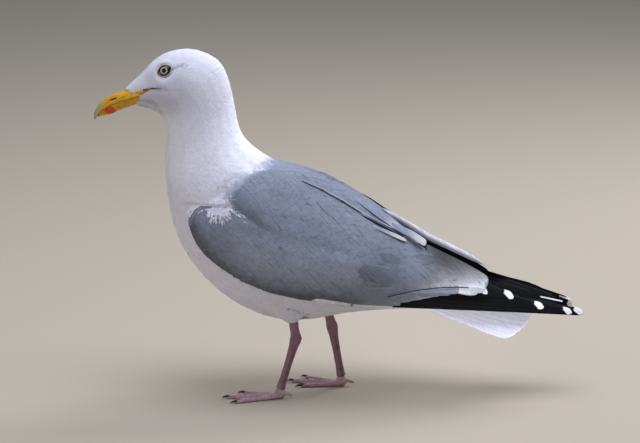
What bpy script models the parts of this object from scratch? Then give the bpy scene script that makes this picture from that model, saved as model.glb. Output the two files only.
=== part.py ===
"""A life-size adult herring gull standing at rest, as separate closed solids.

Metres, +Z up. The bird faces -X, its left side is -Y, and the floor is Z = 0.
The origin is on the floor under the middle of the bird.
"""
import math

import bmesh
import bpy
from mathutils import Matrix, Vector

# ---------------------------------------------------------------- driving dimensions
GAP = 0.0004              # clearance between neighbouring solids
SIDES = {"left": -1, "right": 1}

# The body from bill base to tail base. Each station is one cross-section, given by its
# point on the back (x, z), its point on the belly (x, z) and its half width.
BODY = [
    ((-0.2325, 0.3300), (-0.2170, 0.3150), 0.0075),    # bill base
    ((-0.2105, 0.3495), (-0.2035, 0.3122), 0.0165),    # lores
    ((-0.1985, 0.3625), (-0.1935, 0.3072), 0.0225),    # forehead and chin
    ((-0.1810, 0.3728), (-0.1850, 0.2990), 0.0270),    # crown and throat
    ((-0.1555, 0.3755), (-0.1825, 0.2870), 0.0295),    # hind crown
    ((-0.1295, 0.3640), (-0.1850, 0.2740), 0.0310),    # nape
    ((-0.1185, 0.3435), (-0.1862, 0.2610), 0.0325),    # upper neck
    ((-0.1125, 0.3165), (-0.1860, 0.2440), 0.0365),    # mid neck
    ((-0.1065, 0.2880), (-0.1840, 0.2210), 0.0440),    # lower neck
    ((-0.0920, 0.2700), (-0.1787, 0.1900), 0.0520),    # shoulders and upper breast
    ((-0.0690, 0.2555), (-0.1680, 0.1610), 0.0570),    # breast
    ((-0.0420, 0.2470), (-0.1445, 0.1280), 0.0600),    # lower breast
    ((-0.0100, 0.2330), (-0.1070, 0.0980), 0.0600),    # belly
    ((0.0260, 0.2140), (-0.0550, 0.0810), 0.0560),     # loins
    ((0.0620, 0.1880), (0.0050, 0.0900), 0.0460),      # rump
    ((0.0960, 0.1550), (0.0560, 0.0940), 0.0330),      # vent
    ((0.1220, 0.1230), (0.0980, 0.0940), 0.0220),      # tail base
]
EGG = 0.08                # how much wider than the middle a section is towards the belly
HEAD_END = 5.4            # station where the head meets the neck
NECK_END = 8.4            # station where the neck meets the trunk
STATION_GAP = 0.016       # half of the cut between two lengths of body, in stations

# The upper bill: x, height of the culmen, height of the cutting edge, half width.
BILL_UPPER = [
    (-0.2620, 0.3085, 0.3020, 0.0010),
    (-0.2605, 0.3155, 0.3035, 0.0026),
    (-0.2580, 0.3190, 0.3092, 0.0042),
    (-0.2535, 0.3225, 0.3125, 0.0055),
    (-0.2480, 0.3258, 0.3162, 0.0064),
    (-0.2420, 0.3284, 0.3192, 0.0072),
    (-0.2360, 0.3303, 0.3222, 0.0080),
    (-0.2300, 0.3312, 0.3250, 0.0092),
    (-0.2235, 0.3314, 0.3272, 0.0108),
    (-0.2150, 0.3316, 0.3284, 0.0120),
]
# The lower bill: x, height of the cutting edge, height of the keel, half width.
BILL_LOWER = [
    (-0.2583, 0.3076, 0.3030, 0.0018),
    (-0.2555, 0.3097, 0.3028, 0.0034),
    (-0.2505, 0.3130, 0.3040, 0.0046),
    (-0.2450, 0.3164, 0.3054, 0.0056),
    (-0.2420, 0.3180, 0.3066, 0.0060),
    (-0.2360, 0.3208, 0.3100, 0.0066),
    (-0.2300, 0.3236, 0.3128, 0.0076),
    (-0.2235, 0.3250, 0.3148, 0.0090),
    (-0.2160, 0.3236, 0.3170, 0.0090),
]
NOSTRIL = ((-0.2465, 0.3218), (-0.2400, 0.3248), 0.0007)    # both ends (x, z), half height

EYE_CENTRE = (-0.1878, 0.0152, 0.3562)
EYE_RADIUS = 0.0075

# The folded wing, from the wrist back to the tips of the tertials. Each station is one
# cross-section: x, height of the lower and of the upper edge, distance from the middle
# plane of the lower edge, of the fullest part and of the upper edge, and thickness.
WING = [
    (-0.1605, 0.1965, 0.2075, 0.0470, 0.0490, 0.0470, 0.0040),
    (-0.1560, 0.1820, 0.2160, 0.0490, 0.0550, 0.0470, 0.0090),
    (-0.1465, 0.1665, 0.2210, 0.0515, 0.0620, 0.0480, 0.0150),
    (-0.1310, 0.1530, 0.2290, 0.0545, 0.0685, 0.0490, 0.0190),
    (-0.1120, 0.1410, 0.2425, 0.0570, 0.0720, 0.0450, 0.0210),
    (-0.0850, 0.1270, 0.2520, 0.0590, 0.0745, 0.0340, 0.0220),
    (-0.0430, 0.1165, 0.2455, 0.0600, 0.0750, 0.0215, 0.0210),
    (-0.0100, 0.1125, 0.2320, 0.0590, 0.0730, 0.0180, 0.0200),
    (0.0220, 0.1110, 0.2110, 0.0560, 0.0685, 0.0165, 0.0180),
    (0.0640, 0.1085, 0.1815, 0.0490, 0.0590, 0.0160, 0.0130),
    (0.0970, 0.1140, 0.1590, 0.0430, 0.0490, 0.0160, 0.0090),
    (0.1290, 0.1205, 0.1420, 0.0370, 0.0390, 0.0170, 0.0060),
    (0.1580, 0.1265, 0.1290, 0.0300, 0.0290, 0.0260, 0.0025),
]
# The right wing lies higher over the back than the left one: the rise of its upper edge.
RIGHT_WING_RISE = [0, 0, 0, 0, 0, 0.0005, 0.0015, 0.0035, 0.0060, 0.0070, 0.0085, 0.0095, 0.0040]
# The wing tip, the stack of primaries: the same columns.
WING_TIP = [
    (0.0300, 0.1065, 0.1240, 0.0520, 0.0500, 0.0420, 0.0040),
    (0.0620, 0.1040, 0.1300, 0.0480, 0.0450, 0.0330, 0.0045),
    (0.1000, 0.1010, 0.1310, 0.0420, 0.0375, 0.0230, 0.0045),
    (0.1400, 0.0985, 0.1290, 0.0370, 0.0310, 0.0150, 0.0045),
    (0.1800, 0.0960, 0.1240, 0.0320, 0.0250, 0.0110, 0.0040),
    (0.2150, 0.0945, 0.1150, 0.0280, 0.0215, 0.0110, 0.0035),
    (0.2430, 0.0935, 0.1050, 0.0245, 0.0200, 0.0140, 0.0025),
    (0.2620, 0.0945, 0.0985, 0.0215, 0.0200, 0.0180, 0.0015),
]
# The tail: distance from its base, half width.
TAIL_BASE = Vector((0.0900, 0.0, 0.1085))
TAIL_TIP = Vector((0.2060, 0.0, 0.0905))
TAIL_HALF_WIDTHS = [(0.0, 0.0190), (0.25, 0.0245), (0.5, 0.0310), (0.75, 0.0385), (0.9, 0.0430)]
TAIL_DROOP = math.radians(27)       # each half hangs this far below level
TAIL_THICKNESS = 0.0030
TAIL_ROUNDING = 0.0270              # how far the outer feathers end before the middle ones

# Legs: the centres of knee, ankle and foot joint (x, z) and the way the toes point.
LEGS = {
    "left": dict(knee=(-0.0560, 0.1180), ankle=(-0.0470, 0.0670), foot=(-0.0640, 0.0100),
                 heading=math.radians(180)),
    "right": dict(knee=(-0.0240, 0.1220), ankle=(-0.0085, 0.0680), foot=(0.0020, 0.0100),
                  heading=math.radians(163)),
}
LEG_SPREAD = 0.0270                 # distance of each leg from the middle plane
TOES = {                            # angle from the heading, length and lift of each front toe
    "inner": (math.radians(-25), 0.0440, 0.0002),
    "middle": (math.radians(0), 0.0560, 0.0006),
    "outer": (math.radians(24), 0.0520, -0.0002),
}
HEEL_RADII = (0.0062, 0.0054, 0.0066)
HEEL_HEIGHT = 0.0064
HIND_TOE_LENGTH = 0.0125
HIND_TOE_TURN = math.radians(14)    # the small hind toe points back and inwards
TOE_RADIUS = 0.0025
WEB_THICKNESS = 0.0012
WEB_HEIGHT = 0.0007
CLAW_LENGTH = 0.0085
CLAW_ROOT = 0.0015                  # how far each claw is set back into its toe

COLOURS = {                         # base colour, roughness
    "white_plumage": ((0.80, 0.80, 0.83), 0.85),
    "grey_plumage": ((0.22, 0.24, 0.29), 0.80),
    "black_plumage": ((0.012, 0.012, 0.014), 0.55),
    "bill": ((0.62, 0.36, 0.05), 0.35),
    "eye": ((0.62, 0.58, 0.42), 0.05),
    "leg": ((0.46, 0.29, 0.29), 0.50),
    "claw": ((0.03, 0.025, 0.025), 0.35),
}


# ---------------------------------------------------------------- scene and materials
def clear_scene():
    for obj in list(bpy.data.objects):
        bpy.data.objects.remove(obj)


def new_collection(name):
    collection = bpy.data.collections.new(name)
    bpy.context.scene.collection.children.link(collection)
    return collection


def make_materials():
    made = {}
    for name, (colour, roughness) in COLOURS.items():
        material = bpy.data.materials.new(name)
        material.use_nodes = True
        shader = material.node_tree.nodes["Principled BSDF"]
        shader.inputs["Base Color"].default_value = (*colour, 1.0)
        shader.inputs["Roughness"].default_value = roughness
        shader.inputs["Metallic"].default_value = 0.0
        made[name] = material
    return made


def to_mesh(name, bm):
    """Faces outward and flat triangles only, so that every Boolean is exact."""
    bmesh.ops.recalc_face_normals(bm, faces=bm.faces)
    bmesh.ops.triangulate(bm, faces=bm.faces)
    mesh = bpy.data.meshes.new(name)
    bm.to_mesh(mesh)
    bm.free()
    return mesh


def add_object(name, bm, finish):
    """A finished bmesh as a named part of the gull."""
    mesh = to_mesh(name, bm)
    mesh.shade_smooth()
    mesh.set_sharp_from_angle(angle=math.radians(40))
    mesh.materials.append(MATERIALS[finish])
    obj = bpy.data.objects.new(name, mesh)
    GULL.objects.link(obj)
    return obj


# ---------------------------------------------------------------- shaping helpers
def spline(rows, at):
    """Catmull-Rom through rows of numbers, read at a place counted in rows."""
    last = len(rows) - 1
    i = min(int(at), last - 1)
    t = at - i
    a, b, c, d = (rows[max(0, min(last, k))] for k in (i - 1, i, i + 1, i + 2))
    return [
        0.5 * (2 * q + (r - p) * t + (2 * p - 5 * q + 4 * r - s) * t * t + (3 * q - p - 3 * r + s) * t ** 3)
        for p, q, r, s in zip(a, b, c, d)
    ]


def loft(rings):
    """A closed bmesh through rings of points that all run the same way round."""
    bm = bmesh.new()
    made = [[bm.verts.new(point) for point in ring] for ring in rings]
    count = len(made[0])
    for ring, following in zip(made, made[1:]):
        for k in range(count):
            n = (k + 1) % count
            bm.faces.new((ring[k], ring[n], following[n], following[k]))
    for end in (made[0], made[-1]):
        bm.faces.new(end)
    return bm


def steps(start, end, count):
    return [start + (end - start) * k / (count - 1) for k in range(count)]


def grown_copy(obj, distance):
    """A hidden copy that is larger all round, used to cut a neighbour clear of obj."""
    bm = bmesh.new()
    bm.from_mesh(obj.data)
    bm.normal_update()
    for vert, normal in [(v, v.normal.copy()) for v in bm.verts]:
        vert.co += normal * distance * vert.calc_shell_factor()
    return add_cutter(obj.name + "_cutter", bm)


def add_cutter(name, bm):
    cutter = bpy.data.objects.new(name, to_mesh(name, bm))
    cutter.hide_render = True
    cutter.display_type = "WIRE"
    CUTTERS.objects.link(cutter)
    return cutter


def combine(obj, other, operation, solver="EXACT"):
    modifier = obj.modifiers.new(operation.title() + " " + other.name, "BOOLEAN")
    modifier.operation = operation
    modifier.solver = solver
    modifier.object = other


def cut_clear(obj, *neighbours, solver="EXACT"):
    for neighbour in neighbours:
        combine(obj, grown_copy(neighbour, GAP), "DIFFERENCE", solver)


# ---------------------------------------------------------------- head, neck and trunk
def body_ring(station, count=22):
    back_x, back_z, belly_x, belly_z, half_width = spline(
        [(*back, *belly, width) for back, belly, width in BODY], station)
    back = Vector((back_x, 0, back_z))
    belly = Vector((belly_x, 0, belly_z))
    middle, reach = (back + belly) / 2, (back - belly) / 2
    ring = []
    for k in range(count):
        angle = 2 * math.pi * k / count
        width = half_width * (1 - EGG * math.cos(angle))
        ring.append(middle + reach * math.cos(angle) + Vector((0, width * math.sin(angle), 0)))
    return ring


def make_body():
    """The body as one form, parted into three lengths by thin cuts."""
    last = len(BODY) - 1
    lengths = {
        "head": (0.0, HEAD_END - STATION_GAP, 14),
        "neck": (HEAD_END + STATION_GAP, NECK_END - STATION_GAP, 8),
        "trunk": (NECK_END + STATION_GAP, last, 16),
    }
    return {
        name: add_object(name, loft([body_ring(s) for s in steps(start, end, count)]), "white_plumage")
        for name, (start, end, count) in lengths.items()
    }


# ---------------------------------------------------------------- bill and eyes
def bill_ring(x, top, bottom, half_width, arch_up, count=8):
    """A D-shaped section: an arch over or under a flat cutting edge."""
    ring = []
    for k in range(count):
        angle = math.pi * k / (count - 1)
        y = half_width * math.copysign(abs(math.cos(angle)) ** 0.8, math.cos(angle))
        rise = math.sin(angle)
        z = bottom + (top - bottom) * rise if arch_up else top - (top - bottom) * rise
        ring.append(Vector((x, y, z)))
    return ring


def make_bill():
    places = [k / 2 for k in range(2 * len(BILL_UPPER) - 1)]
    upper = add_object("bill_upper", loft([bill_ring(*spline(BILL_UPPER, p), True) for p in places]), "bill")
    places = [k / 2 for k in range(2 * len(BILL_LOWER) - 1)]
    lower = add_object("bill_lower", loft([bill_ring(*spline(BILL_LOWER, p), False) for p in places]), "bill")
    cut_clear(lower, upper)
    combine(upper, make_nostril_cutter(), "DIFFERENCE")
    return upper, lower


def make_nostril_cutter():
    """A slot with round ends that runs right through the upper bill."""
    (x0, z0), (x1, z1), half_height = NOSTRIL
    length = math.hypot(x1 - x0, z1 - z0)
    bm = bmesh.new()
    bmesh.ops.create_cone(bm, cap_ends=True, segments=12, radius1=half_height, radius2=half_height, depth=0.03)
    for vert in bm.verts:
        vert.co.x += math.copysign(length / 2 - half_height, vert.co.x)
    lie_across = Matrix.Rotation(math.pi / 2, 4, "X")
    tilt = Matrix.Rotation(-math.atan2(z1 - z0, x1 - x0), 4, "Y")
    place = Matrix.Translation(((x0 + x1) / 2, 0, (z0 + z1) / 2))
    bmesh.ops.transform(bm, matrix=place @ tilt @ lie_across, verts=bm.verts)
    return add_cutter("nostril_cutter", bm)


def make_eye(side):
    bm = bmesh.new()
    bmesh.ops.create_uvsphere(bm, u_segments=12, v_segments=8, radius=EYE_RADIUS)
    x, y, z = EYE_CENTRE
    bmesh.ops.translate(bm, vec=(x, SIDES[side] * y, z), verts=bm.verts)
    return add_object("eye_" + side, bm, "eye")


# ---------------------------------------------------------------- wings and tail
def blade_ring(row, side, count=8):
    """A curved band from the lower to the upper edge, with its inner face one thickness in."""
    x, low, high, y_low, y_full, y_high, thickness = row
    outer, inner = [], []
    for k in range(count):
        t = k / (count - 1)
        y = (1 - t) ** 2 * y_low + t * t * y_high + 2 * t * (1 - t) * (2 * y_full - (y_low + y_high) / 2)
        z = low + (high - low) * t
        depth = thickness * (0.25 + 0.75 * math.sin(math.pi * t) ** 0.6)
        outer.append(Vector((x, side * y, z)))
        inner.append(Vector((x, side * (y - depth), z)))
    return outer + inner[::-1]


def make_blade(name, rows, side, count, finish):
    places = steps(0, len(rows) - 1, count)
    return add_object(name, loft([blade_ring(spline(rows, p), side) for p in places]), finish)


def tail_ring(share, half_width, half_count=5):
    """A thin ridge tent: level in the middle and drooping to both sides."""
    middle = TAIL_BASE.lerp(TAIL_TIP, share)
    upper, lower = [], []
    for k in range(-half_count, half_count + 1):
        out = k / half_count
        along = -TAIL_ROUNDING * share * out * out
        drop = half_width * abs(out) ** 1.3 * math.sin(TAIL_DROOP)
        place = middle + Vector((along, half_width * out * math.cos(TAIL_DROOP), -drop))
        upper.append(place)
        lower.append(place - Vector((0, 0, TAIL_THICKNESS * (1 - 0.5 * out * out))))
    return upper + lower[::-1]


def make_tail():
    rings = [tail_ring(share, width) for share, width in TAIL_HALF_WIDTHS]
    rings += [tail_ring(0.97, 0.0425), tail_ring(1.0, 0.0385)]
    return add_object("tail", loft(rings), "white_plumage")


# ---------------------------------------------------------------- legs and feet
def limb(rows, count=10):
    """Oval sections square to a path. Each row: centre, half depth along it, half width."""
    rings = []
    for k, (centre, half_depth, half_width) in enumerate(rows):
        before, after = rows[max(k - 1, 0)][0], rows[min(k + 1, len(rows) - 1)][0]
        along = (after - before).normalized()
        across = Vector((0, 0, 1)).cross(along) if abs(along.z) < 0.5 else Vector((0, 1, 0))
        across.normalize()
        fore = across.cross(along)
        rings.append([
            centre + fore * half_depth * math.cos(a) + across * half_width * math.sin(a)
            for a in (2 * math.pi * n / count for n in range(count))
        ])
    return loft(rings)


def leg_points(side):
    leg = LEGS[side]
    y = SIDES[side] * LEG_SPREAD
    return [Vector((leg[name][0], y, leg[name][1])) for name in ("knee", "ankle", "foot")]


def make_thigh(side):
    """The feathered part of the leg, a short drumstick that ends above the ankle."""
    knee, ankle, _ = leg_points(side)
    rows = [(0.0, 0.0230, 0.0170), (0.22, 0.0225, 0.0165), (0.39, 0.0190, 0.0140),
            (0.51, 0.0140, 0.0105), (0.60, 0.0088, 0.0072), (0.66, 0.0060, 0.0052)]
    return add_object("thigh_" + side, limb([(knee.lerp(ankle, t), d, w) for t, d, w in rows], 14),
                      "white_plumage")


def make_shank(side):
    """The bare end of the drumstick, the ankle joint and the long scaly tarsus."""
    knee, ankle, foot = leg_points(side)
    upper = [(0.67, 0.0050, 0.0043), (0.88, 0.0051, 0.0042), (0.95, 0.0058, 0.0046)]
    rows = [(knee.lerp(ankle, t), d, w) for t, d, w in upper]
    rows.append((ankle, 0.0064, 0.0052))
    lower = [(0.07, 0.0061, 0.0050), (0.17, 0.0051, 0.0041), (0.45, 0.0043, 0.0033),
             (0.75, 0.0042, 0.0033), (0.90, 0.0047, 0.0040), (0.97, 0.0052, 0.0046)]
    rows += [(ankle.lerp(foot, t), d, w) for t, d, w in lower]
    return add_object("shank_" + side, limb(rows), "leg")


def toe_path(side, angle):
    """The foot joint and the direction in which a toe runs out along the floor."""
    heading = LEGS[side]["heading"] - SIDES[side] * angle
    return leg_points(side)[2], Vector((math.cos(heading), math.sin(heading), 0))


def make_toe(side, angle, length, lift):
    """A toe with its three knuckles, as a loose mesh."""
    foot, out = toe_path(side, angle)
    start = Vector((foot.x, foot.y, 0.0031 + lift))
    rows = []
    for k in range(7):
        t = 0.06 + 0.94 * k / 6
        bulge = 1 + 0.10 * math.cos(6 * math.pi * t)
        radius = TOE_RADIUS * (1.25 - 0.40 * t) * bulge
        rows.append((start + out * length * t - Vector((0, 0, (0.0012 + lift) * t)), radius * 0.95, radius))
    tip = start + out * (length + 0.0012) - Vector((0, 0, 0.0013 + lift))
    rows.append((tip, TOE_RADIUS * 0.45, TOE_RADIUS * 0.45))
    return limb(rows, 8)


def make_web(side):
    """The skin between the toes, with a hollow front edge."""
    foot = leg_points(side)[2]
    tips = []
    for angle, length, _ in TOES.values():
        tips.append(Vector((foot.x, foot.y, 0)) + toe_path(side, angle)[1] * length * 0.93)
    heel = Vector((foot.x, foot.y, 0))
    outline = [heel, tips[0]]
    for near, far in ((tips[0], tips[1]), (tips[1], tips[2])):
        for k in (1, 2, 3):
            t = k / 4
            edge = near.lerp(far, t)
            outline.append(heel.lerp(edge, 1 - 0.16 * math.sin(math.pi * t)))
        outline.append(far)
    bm = bmesh.new()
    sheet = bm.faces.new([bm.verts.new((p.x, p.y, WEB_HEIGHT)) for p in outline])
    raised = bmesh.ops.extrude_face_region(bm, geom=[sheet])["geom"]
    bmesh.ops.translate(bm, vec=(0, 0, WEB_THICKNESS),
                        verts=[v for v in raised if isinstance(v, bmesh.types.BMVert)])
    return bm


def make_heel(side):
    """The knuckle where the toes meet, under the end of the tarsus."""
    foot = leg_points(side)[2]
    heel = bmesh.new()
    bmesh.ops.create_uvsphere(heel, u_segments=10, v_segments=7, radius=1.0)
    lean = Matrix.Rotation(LEGS[side]["heading"], 4, "Z") @ Matrix.Rotation(0.15, 4, "Y")
    bmesh.ops.transform(heel, matrix=Matrix.Translation((foot.x, foot.y, HEEL_HEIGHT)) @ lean
                        @ Matrix.Diagonal((*HEEL_RADII, 1.0)), verts=heel.verts)
    return heel


def make_hind_toe(side):
    foot = leg_points(side)[2]
    heading = LEGS[side]["heading"] + math.pi + SIDES[side] * HIND_TOE_TURN
    out = Vector((math.cos(heading), math.sin(heading), -0.28))
    start = Vector((foot.x, foot.y, HEEL_HEIGHT + 0.0020)) + out * 0.0010
    rows = [(start + out * HIND_TOE_LENGTH * t, r, r) for t, r in
            ((0.0, 0.0024), (0.5, 0.0021), (0.85, 0.0017), (1.0, 0.0011))]
    return limb(rows, 8)


def make_foot(side):
    """Toes, web, heel and hind toe joined in one piece, with flats where they meet the floor.

    The toes run into each other at very small angles, which only the MANIFOLD solver joins.
    """
    foot = add_object("foot_" + side, make_heel(side), "leg")
    pieces = [make_toe(side, *TOES[name]) for name in TOES] + [make_web(side), make_hind_toe(side)]
    for number, piece in enumerate(pieces):
        combine(foot, add_cutter(f"foot_{side}_piece_{number}", piece), "UNION", "MANIFOLD")
    floor = bmesh.new()
    bmesh.ops.create_cube(floor, size=0.2)
    centre = leg_points(side)[2]
    bmesh.ops.translate(floor, vec=(centre.x, centre.y, -0.1), verts=floor.verts)
    combine(foot, add_cutter(f"foot_{side}_floor", floor), "DIFFERENCE", "MANIFOLD")
    return foot


def make_claws(side):
    """One short curved claw rooted in the end of each front toe."""
    claws = []
    for name, (angle, length, _) in TOES.items():
        foot, out = toe_path(side, angle)
        start = Vector((foot.x, foot.y, 0.0024)) + out * (length - CLAW_ROOT)
        rows = []
        for k in range(5):
            t = k / 4
            drop = Vector((0, 0, 0.0006 * math.sin(math.pi * t) - 0.0014 * t * t))
            radius = 0.0015 * (1 - t) ** 0.7 + 0.00035
            rows.append((start + out * CLAW_LENGTH * t + drop, radius, radius * 0.8))
        claws.append(add_object(f"claw_{side}_{name}", limb(rows, 7), "claw"))
    return claws


# ---------------------------------------------------------------- the gull
clear_scene()
GULL = new_collection("herring_gull")
CUTTERS = new_collection("cutters")
MATERIALS = make_materials()

body = make_body()
bill_upper, bill_lower = make_bill()
eyes = [make_eye(side) for side in SIDES]
cut_clear(body["head"], bill_upper, bill_lower, *eyes)

tail = make_tail()
wings, wing_tips, thighs = [], [], []
for side_name, sign in SIDES.items():
    rise = RIGHT_WING_RISE if side_name == "right" else [0] * len(WING)
    stations = [(*row[:2], row[2] + up, *row[3:]) for row, up in zip(WING, rise)]
    wings.append(make_blade("wing_" + side_name, stations, sign, 17, "grey_plumage"))
    wing_tips.append(make_blade("wing_tip_" + side_name, WING_TIP, sign, 9, "black_plumage"))
    cut_clear(wing_tips[-1], wings[-1])
    thighs.append(make_thigh(side_name))
    foot = make_foot(side_name)
    cut_clear(foot, *make_claws(side_name), solver="MANIFOLD")
    cut_clear(make_shank(side_name), foot)
cut_clear(body["trunk"], *wings, *wing_tips, tail, *thighs)
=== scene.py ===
# %% [markdown]
# # A herring gull in solid feathers
#
# This lesson dresses a plain solid gull. The frame gives the solids, in metres, with the bird
# facing -X, its left side at -Y and the floor at Z = 0. The plan, from the inside out:
#
# 1. one smooth skin in place of the solids of flesh;
# 2. two fields on that skin: the way the feathers lie, and the colour they have there;
# 3. thousands of small feathers laid along the first field and coloured by the second;
# 4. the large feathers of wing and tail, one by one;
# 5. the bare parts: bill, eyes, legs, feet and claws.

# %% Load the frame
import math

import bmesh
import bpy
import numpy as np
from mathutils import Matrix, Vector
from mathutils.bvhtree import BVHTree
from mathutils.kdtree import KDTree


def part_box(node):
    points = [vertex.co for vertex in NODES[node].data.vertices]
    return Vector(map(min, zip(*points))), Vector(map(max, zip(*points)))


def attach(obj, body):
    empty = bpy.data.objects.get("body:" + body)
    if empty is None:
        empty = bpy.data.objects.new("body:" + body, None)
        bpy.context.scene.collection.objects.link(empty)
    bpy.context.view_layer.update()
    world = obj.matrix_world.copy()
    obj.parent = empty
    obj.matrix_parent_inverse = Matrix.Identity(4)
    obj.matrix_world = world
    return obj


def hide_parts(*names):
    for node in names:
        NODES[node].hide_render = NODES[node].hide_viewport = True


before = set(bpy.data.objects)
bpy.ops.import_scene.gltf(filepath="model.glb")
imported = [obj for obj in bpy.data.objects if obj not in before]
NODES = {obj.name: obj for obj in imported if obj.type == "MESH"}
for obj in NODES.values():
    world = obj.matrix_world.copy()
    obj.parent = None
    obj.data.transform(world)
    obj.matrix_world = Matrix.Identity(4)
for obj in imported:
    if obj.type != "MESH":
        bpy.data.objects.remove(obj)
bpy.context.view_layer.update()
SIDES = {"left": -1, "right": 1}
print("solids:", len(NODES))

# %% [markdown]
# ## Camera, light and floor
#
# A long lens a few metres away keeps a small animal free of distortion. The bird is seen from
# its left and a little from above. The light is that of a bright, hazy day made in a studio:
# a pale blue world, one large soft lamp overhead, and a pale warm floor that throws some light
# back up at the belly. Three narrow spots lift the tail, the nape and the front of the wing.


# %% Camera
def new_object(name, data):
    obj = bpy.data.objects.new(name, data)
    bpy.context.scene.collection.objects.link(obj)
    return obj


def add_camera(target, distance, elevation, lens):
    camera = new_object("camera", bpy.data.cameras.new("camera"))
    away = Vector((0, -math.cos(elevation), math.sin(elevation)))
    camera.location = Vector(target) + away * distance
    camera.rotation_euler = away.to_track_quat("Z", "Y").to_euler()
    camera.data.lens = lens
    camera.data.sensor_width = 36
    camera.data.clip_end = 50
    bpy.context.scene.camera = camera


add_camera(target=(-0.0214, 0, 0.1887), distance=4.0, elevation=math.radians(12), lens=210.3)


# %% Lights
def add_light(name, kind, place, target, power, colour):
    light = new_object(name, bpy.data.lights.new(name, kind))
    light.location = place
    light.rotation_euler = (Vector(place) - Vector(target)).to_track_quat("Z", "Y").to_euler()
    light.data.energy = power
    light.data.color = colour
    return light.data


BIRD_MIDDLE = (0, 0, 0.2)
# Each soft lamp: name, its place, width, power, colour. All of them look at the bird's middle.
SOFT_LAMPS = [
    ("overhead", (0.2, -0.35, 2.3), 1.8, 43, (0.83, 0.865, 1.0)),
    ("back_light", (1.1, 1.2, 1.6), 1.2, 24, (0.93, 0.95, 1.0)),
    ("front_fill", (-1.3, -0.5, 0.45), 0.9, 2.4, (1.0, 0.93, 0.88)),
]
# Each spot: name, its place, the place it looks at, cone in degrees, power, colour, width.
SPOTS = [
    ("tail_light", (0.45, -1.5, 0.24), (0.150, -0.02, 0.096), 9.0, 74, (0.95, 0.95, 1.0), 0.03),
    ("nape_light", (1.4, 0.1, 0.9), (-0.120, 0.0, 0.320), 8.0, 42, (0.93, 0.95, 1.0), 0.03),
    ("wing_light", (-0.65, -1.5, 0.10), (-0.10, -0.06, 0.168), 7.5, 9, (1.0, 0.84, 0.72), 0.15),
]
for name, place, width, power, colour in SOFT_LAMPS:
    lamp = add_light(name, "AREA", place, BIRD_MIDDLE, power, colour)
    lamp.shape = "DISK"
    lamp.size = width
for name, place, target, cone, power, colour, width in SPOTS:
    spot = add_light(name, "SPOT", place, target, power, colour)
    spot.spot_size = math.radians(cone)
    spot.spot_blend = 1.0
    spot.shadow_soft_size = width

world = bpy.data.worlds.new("hazy_sky")
world.use_nodes = True
world.node_tree.nodes["Background"].inputs["Color"].default_value = (0.76, 0.83, 1.0, 1)
world.node_tree.nodes["Background"].inputs["Strength"].default_value = 0.295
bpy.context.scene.world = world
bpy.context.scene.view_settings.view_transform = "Standard"


# %% Floor
def feed(node, inputs):
    """Gives each input a value, or a link where the value is another node's socket."""
    for key, value in inputs.items():
        if isinstance(value, bpy.types.NodeSocket):
            node.id_data.links.new(value, node.inputs[key])
        else:
            node.inputs[key].default_value = value


def new_material(name, inputs):
    """A material whose shader has these inputs, with its node tree and its shader."""
    material = bpy.data.materials.new(name)
    material.use_nodes = True
    shader = material.node_tree.nodes["Principled BSDF"]
    feed(shader, inputs)
    return material, material.node_tree, shader


def add_floor(half_size):
    bm = bmesh.new()
    bmesh.ops.create_grid(bm, x_segments=1, y_segments=1, size=half_size)
    mesh = bpy.data.meshes.new("floor")
    bm.to_mesh(mesh)
    bm.free()
    finish = {"Base Color": (0.50, 0.435, 0.34, 1), "Roughness": 0.9}
    mesh.materials.append(new_material("pale_floor", finish)[0])
    new_object("floor", mesh)


add_floor(half_size=6.0)

# %% [markdown]
# ## One skin
#
# On the real bird nothing parts head, neck, breast and wings: skin and plumage run over all of
# them. The solids are parted by thin cuts, so copies of them are swelled a little to close the
# cuts, melted into one closed surface by a voxel remesh, and smoothed. A sculptor could do the
# same by hand. The remesh is chosen because it needs no hand-made seams.

# %% Melt the solids of flesh into one surface
FLESH = ["head", "neck", "trunk", "wing_left", "wing_right", "thigh_left", "thigh_right"]
SWELL = 0.0005
VOXEL = 0.0018
SKIN_SMOOTHING = 14                 # rounds of smoothing after the remesh


def merged_copy(node):
    """A CAD solid's mesh as a bmesh whose loose triangles share their corners again."""
    bm = bmesh.new()
    bm.from_mesh(NODES[node].data)
    bmesh.ops.remove_doubles(bm, verts=bm.verts, dist=1e-6)
    bm.normal_update()
    return bm


def evaluated_mesh(obj):
    """The object's mesh with its modifiers applied; the object itself is removed."""
    bpy.context.view_layer.update()
    depsgraph = bpy.context.evaluated_depsgraph_get()
    mesh = bpy.data.meshes.new_from_object(obj.evaluated_get(depsgraph))
    bpy.data.objects.remove(obj)
    return mesh


# %% Melt and smooth
def melted_solids(name, nodes, voxel, smoothing, swell=0.0):
    """The solids as one mesh: copied, swelled a little, melted together and smoothed."""
    joined = bmesh.new()
    for node in nodes:
        part = merged_copy(node)
        for vert, normal in [(v, v.normal.copy()) for v in part.verts]:
            vert.co += normal * swell
        mesh = bpy.data.meshes.new("part")
        part.to_mesh(mesh)
        part.free()
        joined.from_mesh(mesh)
        bpy.data.meshes.remove(mesh)
    mesh = bpy.data.meshes.new(name)
    joined.to_mesh(mesh)
    joined.free()
    obj = new_object(name, mesh)
    remesh = obj.modifiers.new("melt", "REMESH")
    remesh.mode = "VOXEL"
    remesh.voxel_size = voxel
    smooth = obj.modifiers.new("smooth", "SMOOTH")
    smooth.factor = 0.5
    smooth.iterations = smoothing
    return evaluated_mesh(obj)


def rows_of_three(items, key):
    """One property of all the items as an array with three numbers a row."""
    flat = np.empty(len(items) * 3, np.float32)
    items.foreach_get(key, flat)
    return flat.reshape(-1, 3).astype(float)


def vertex_array(mesh):
    return rows_of_three(mesh.vertices, "co")


def normal_array(mesh):
    return rows_of_three(mesh.vertex_normals, "vector")


skin_mesh = melted_solids("skin", FLESH, VOXEL, SKIN_SMOOTHING, SWELL)
print("skin:", len(skin_mesh.vertices), "points")

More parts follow.
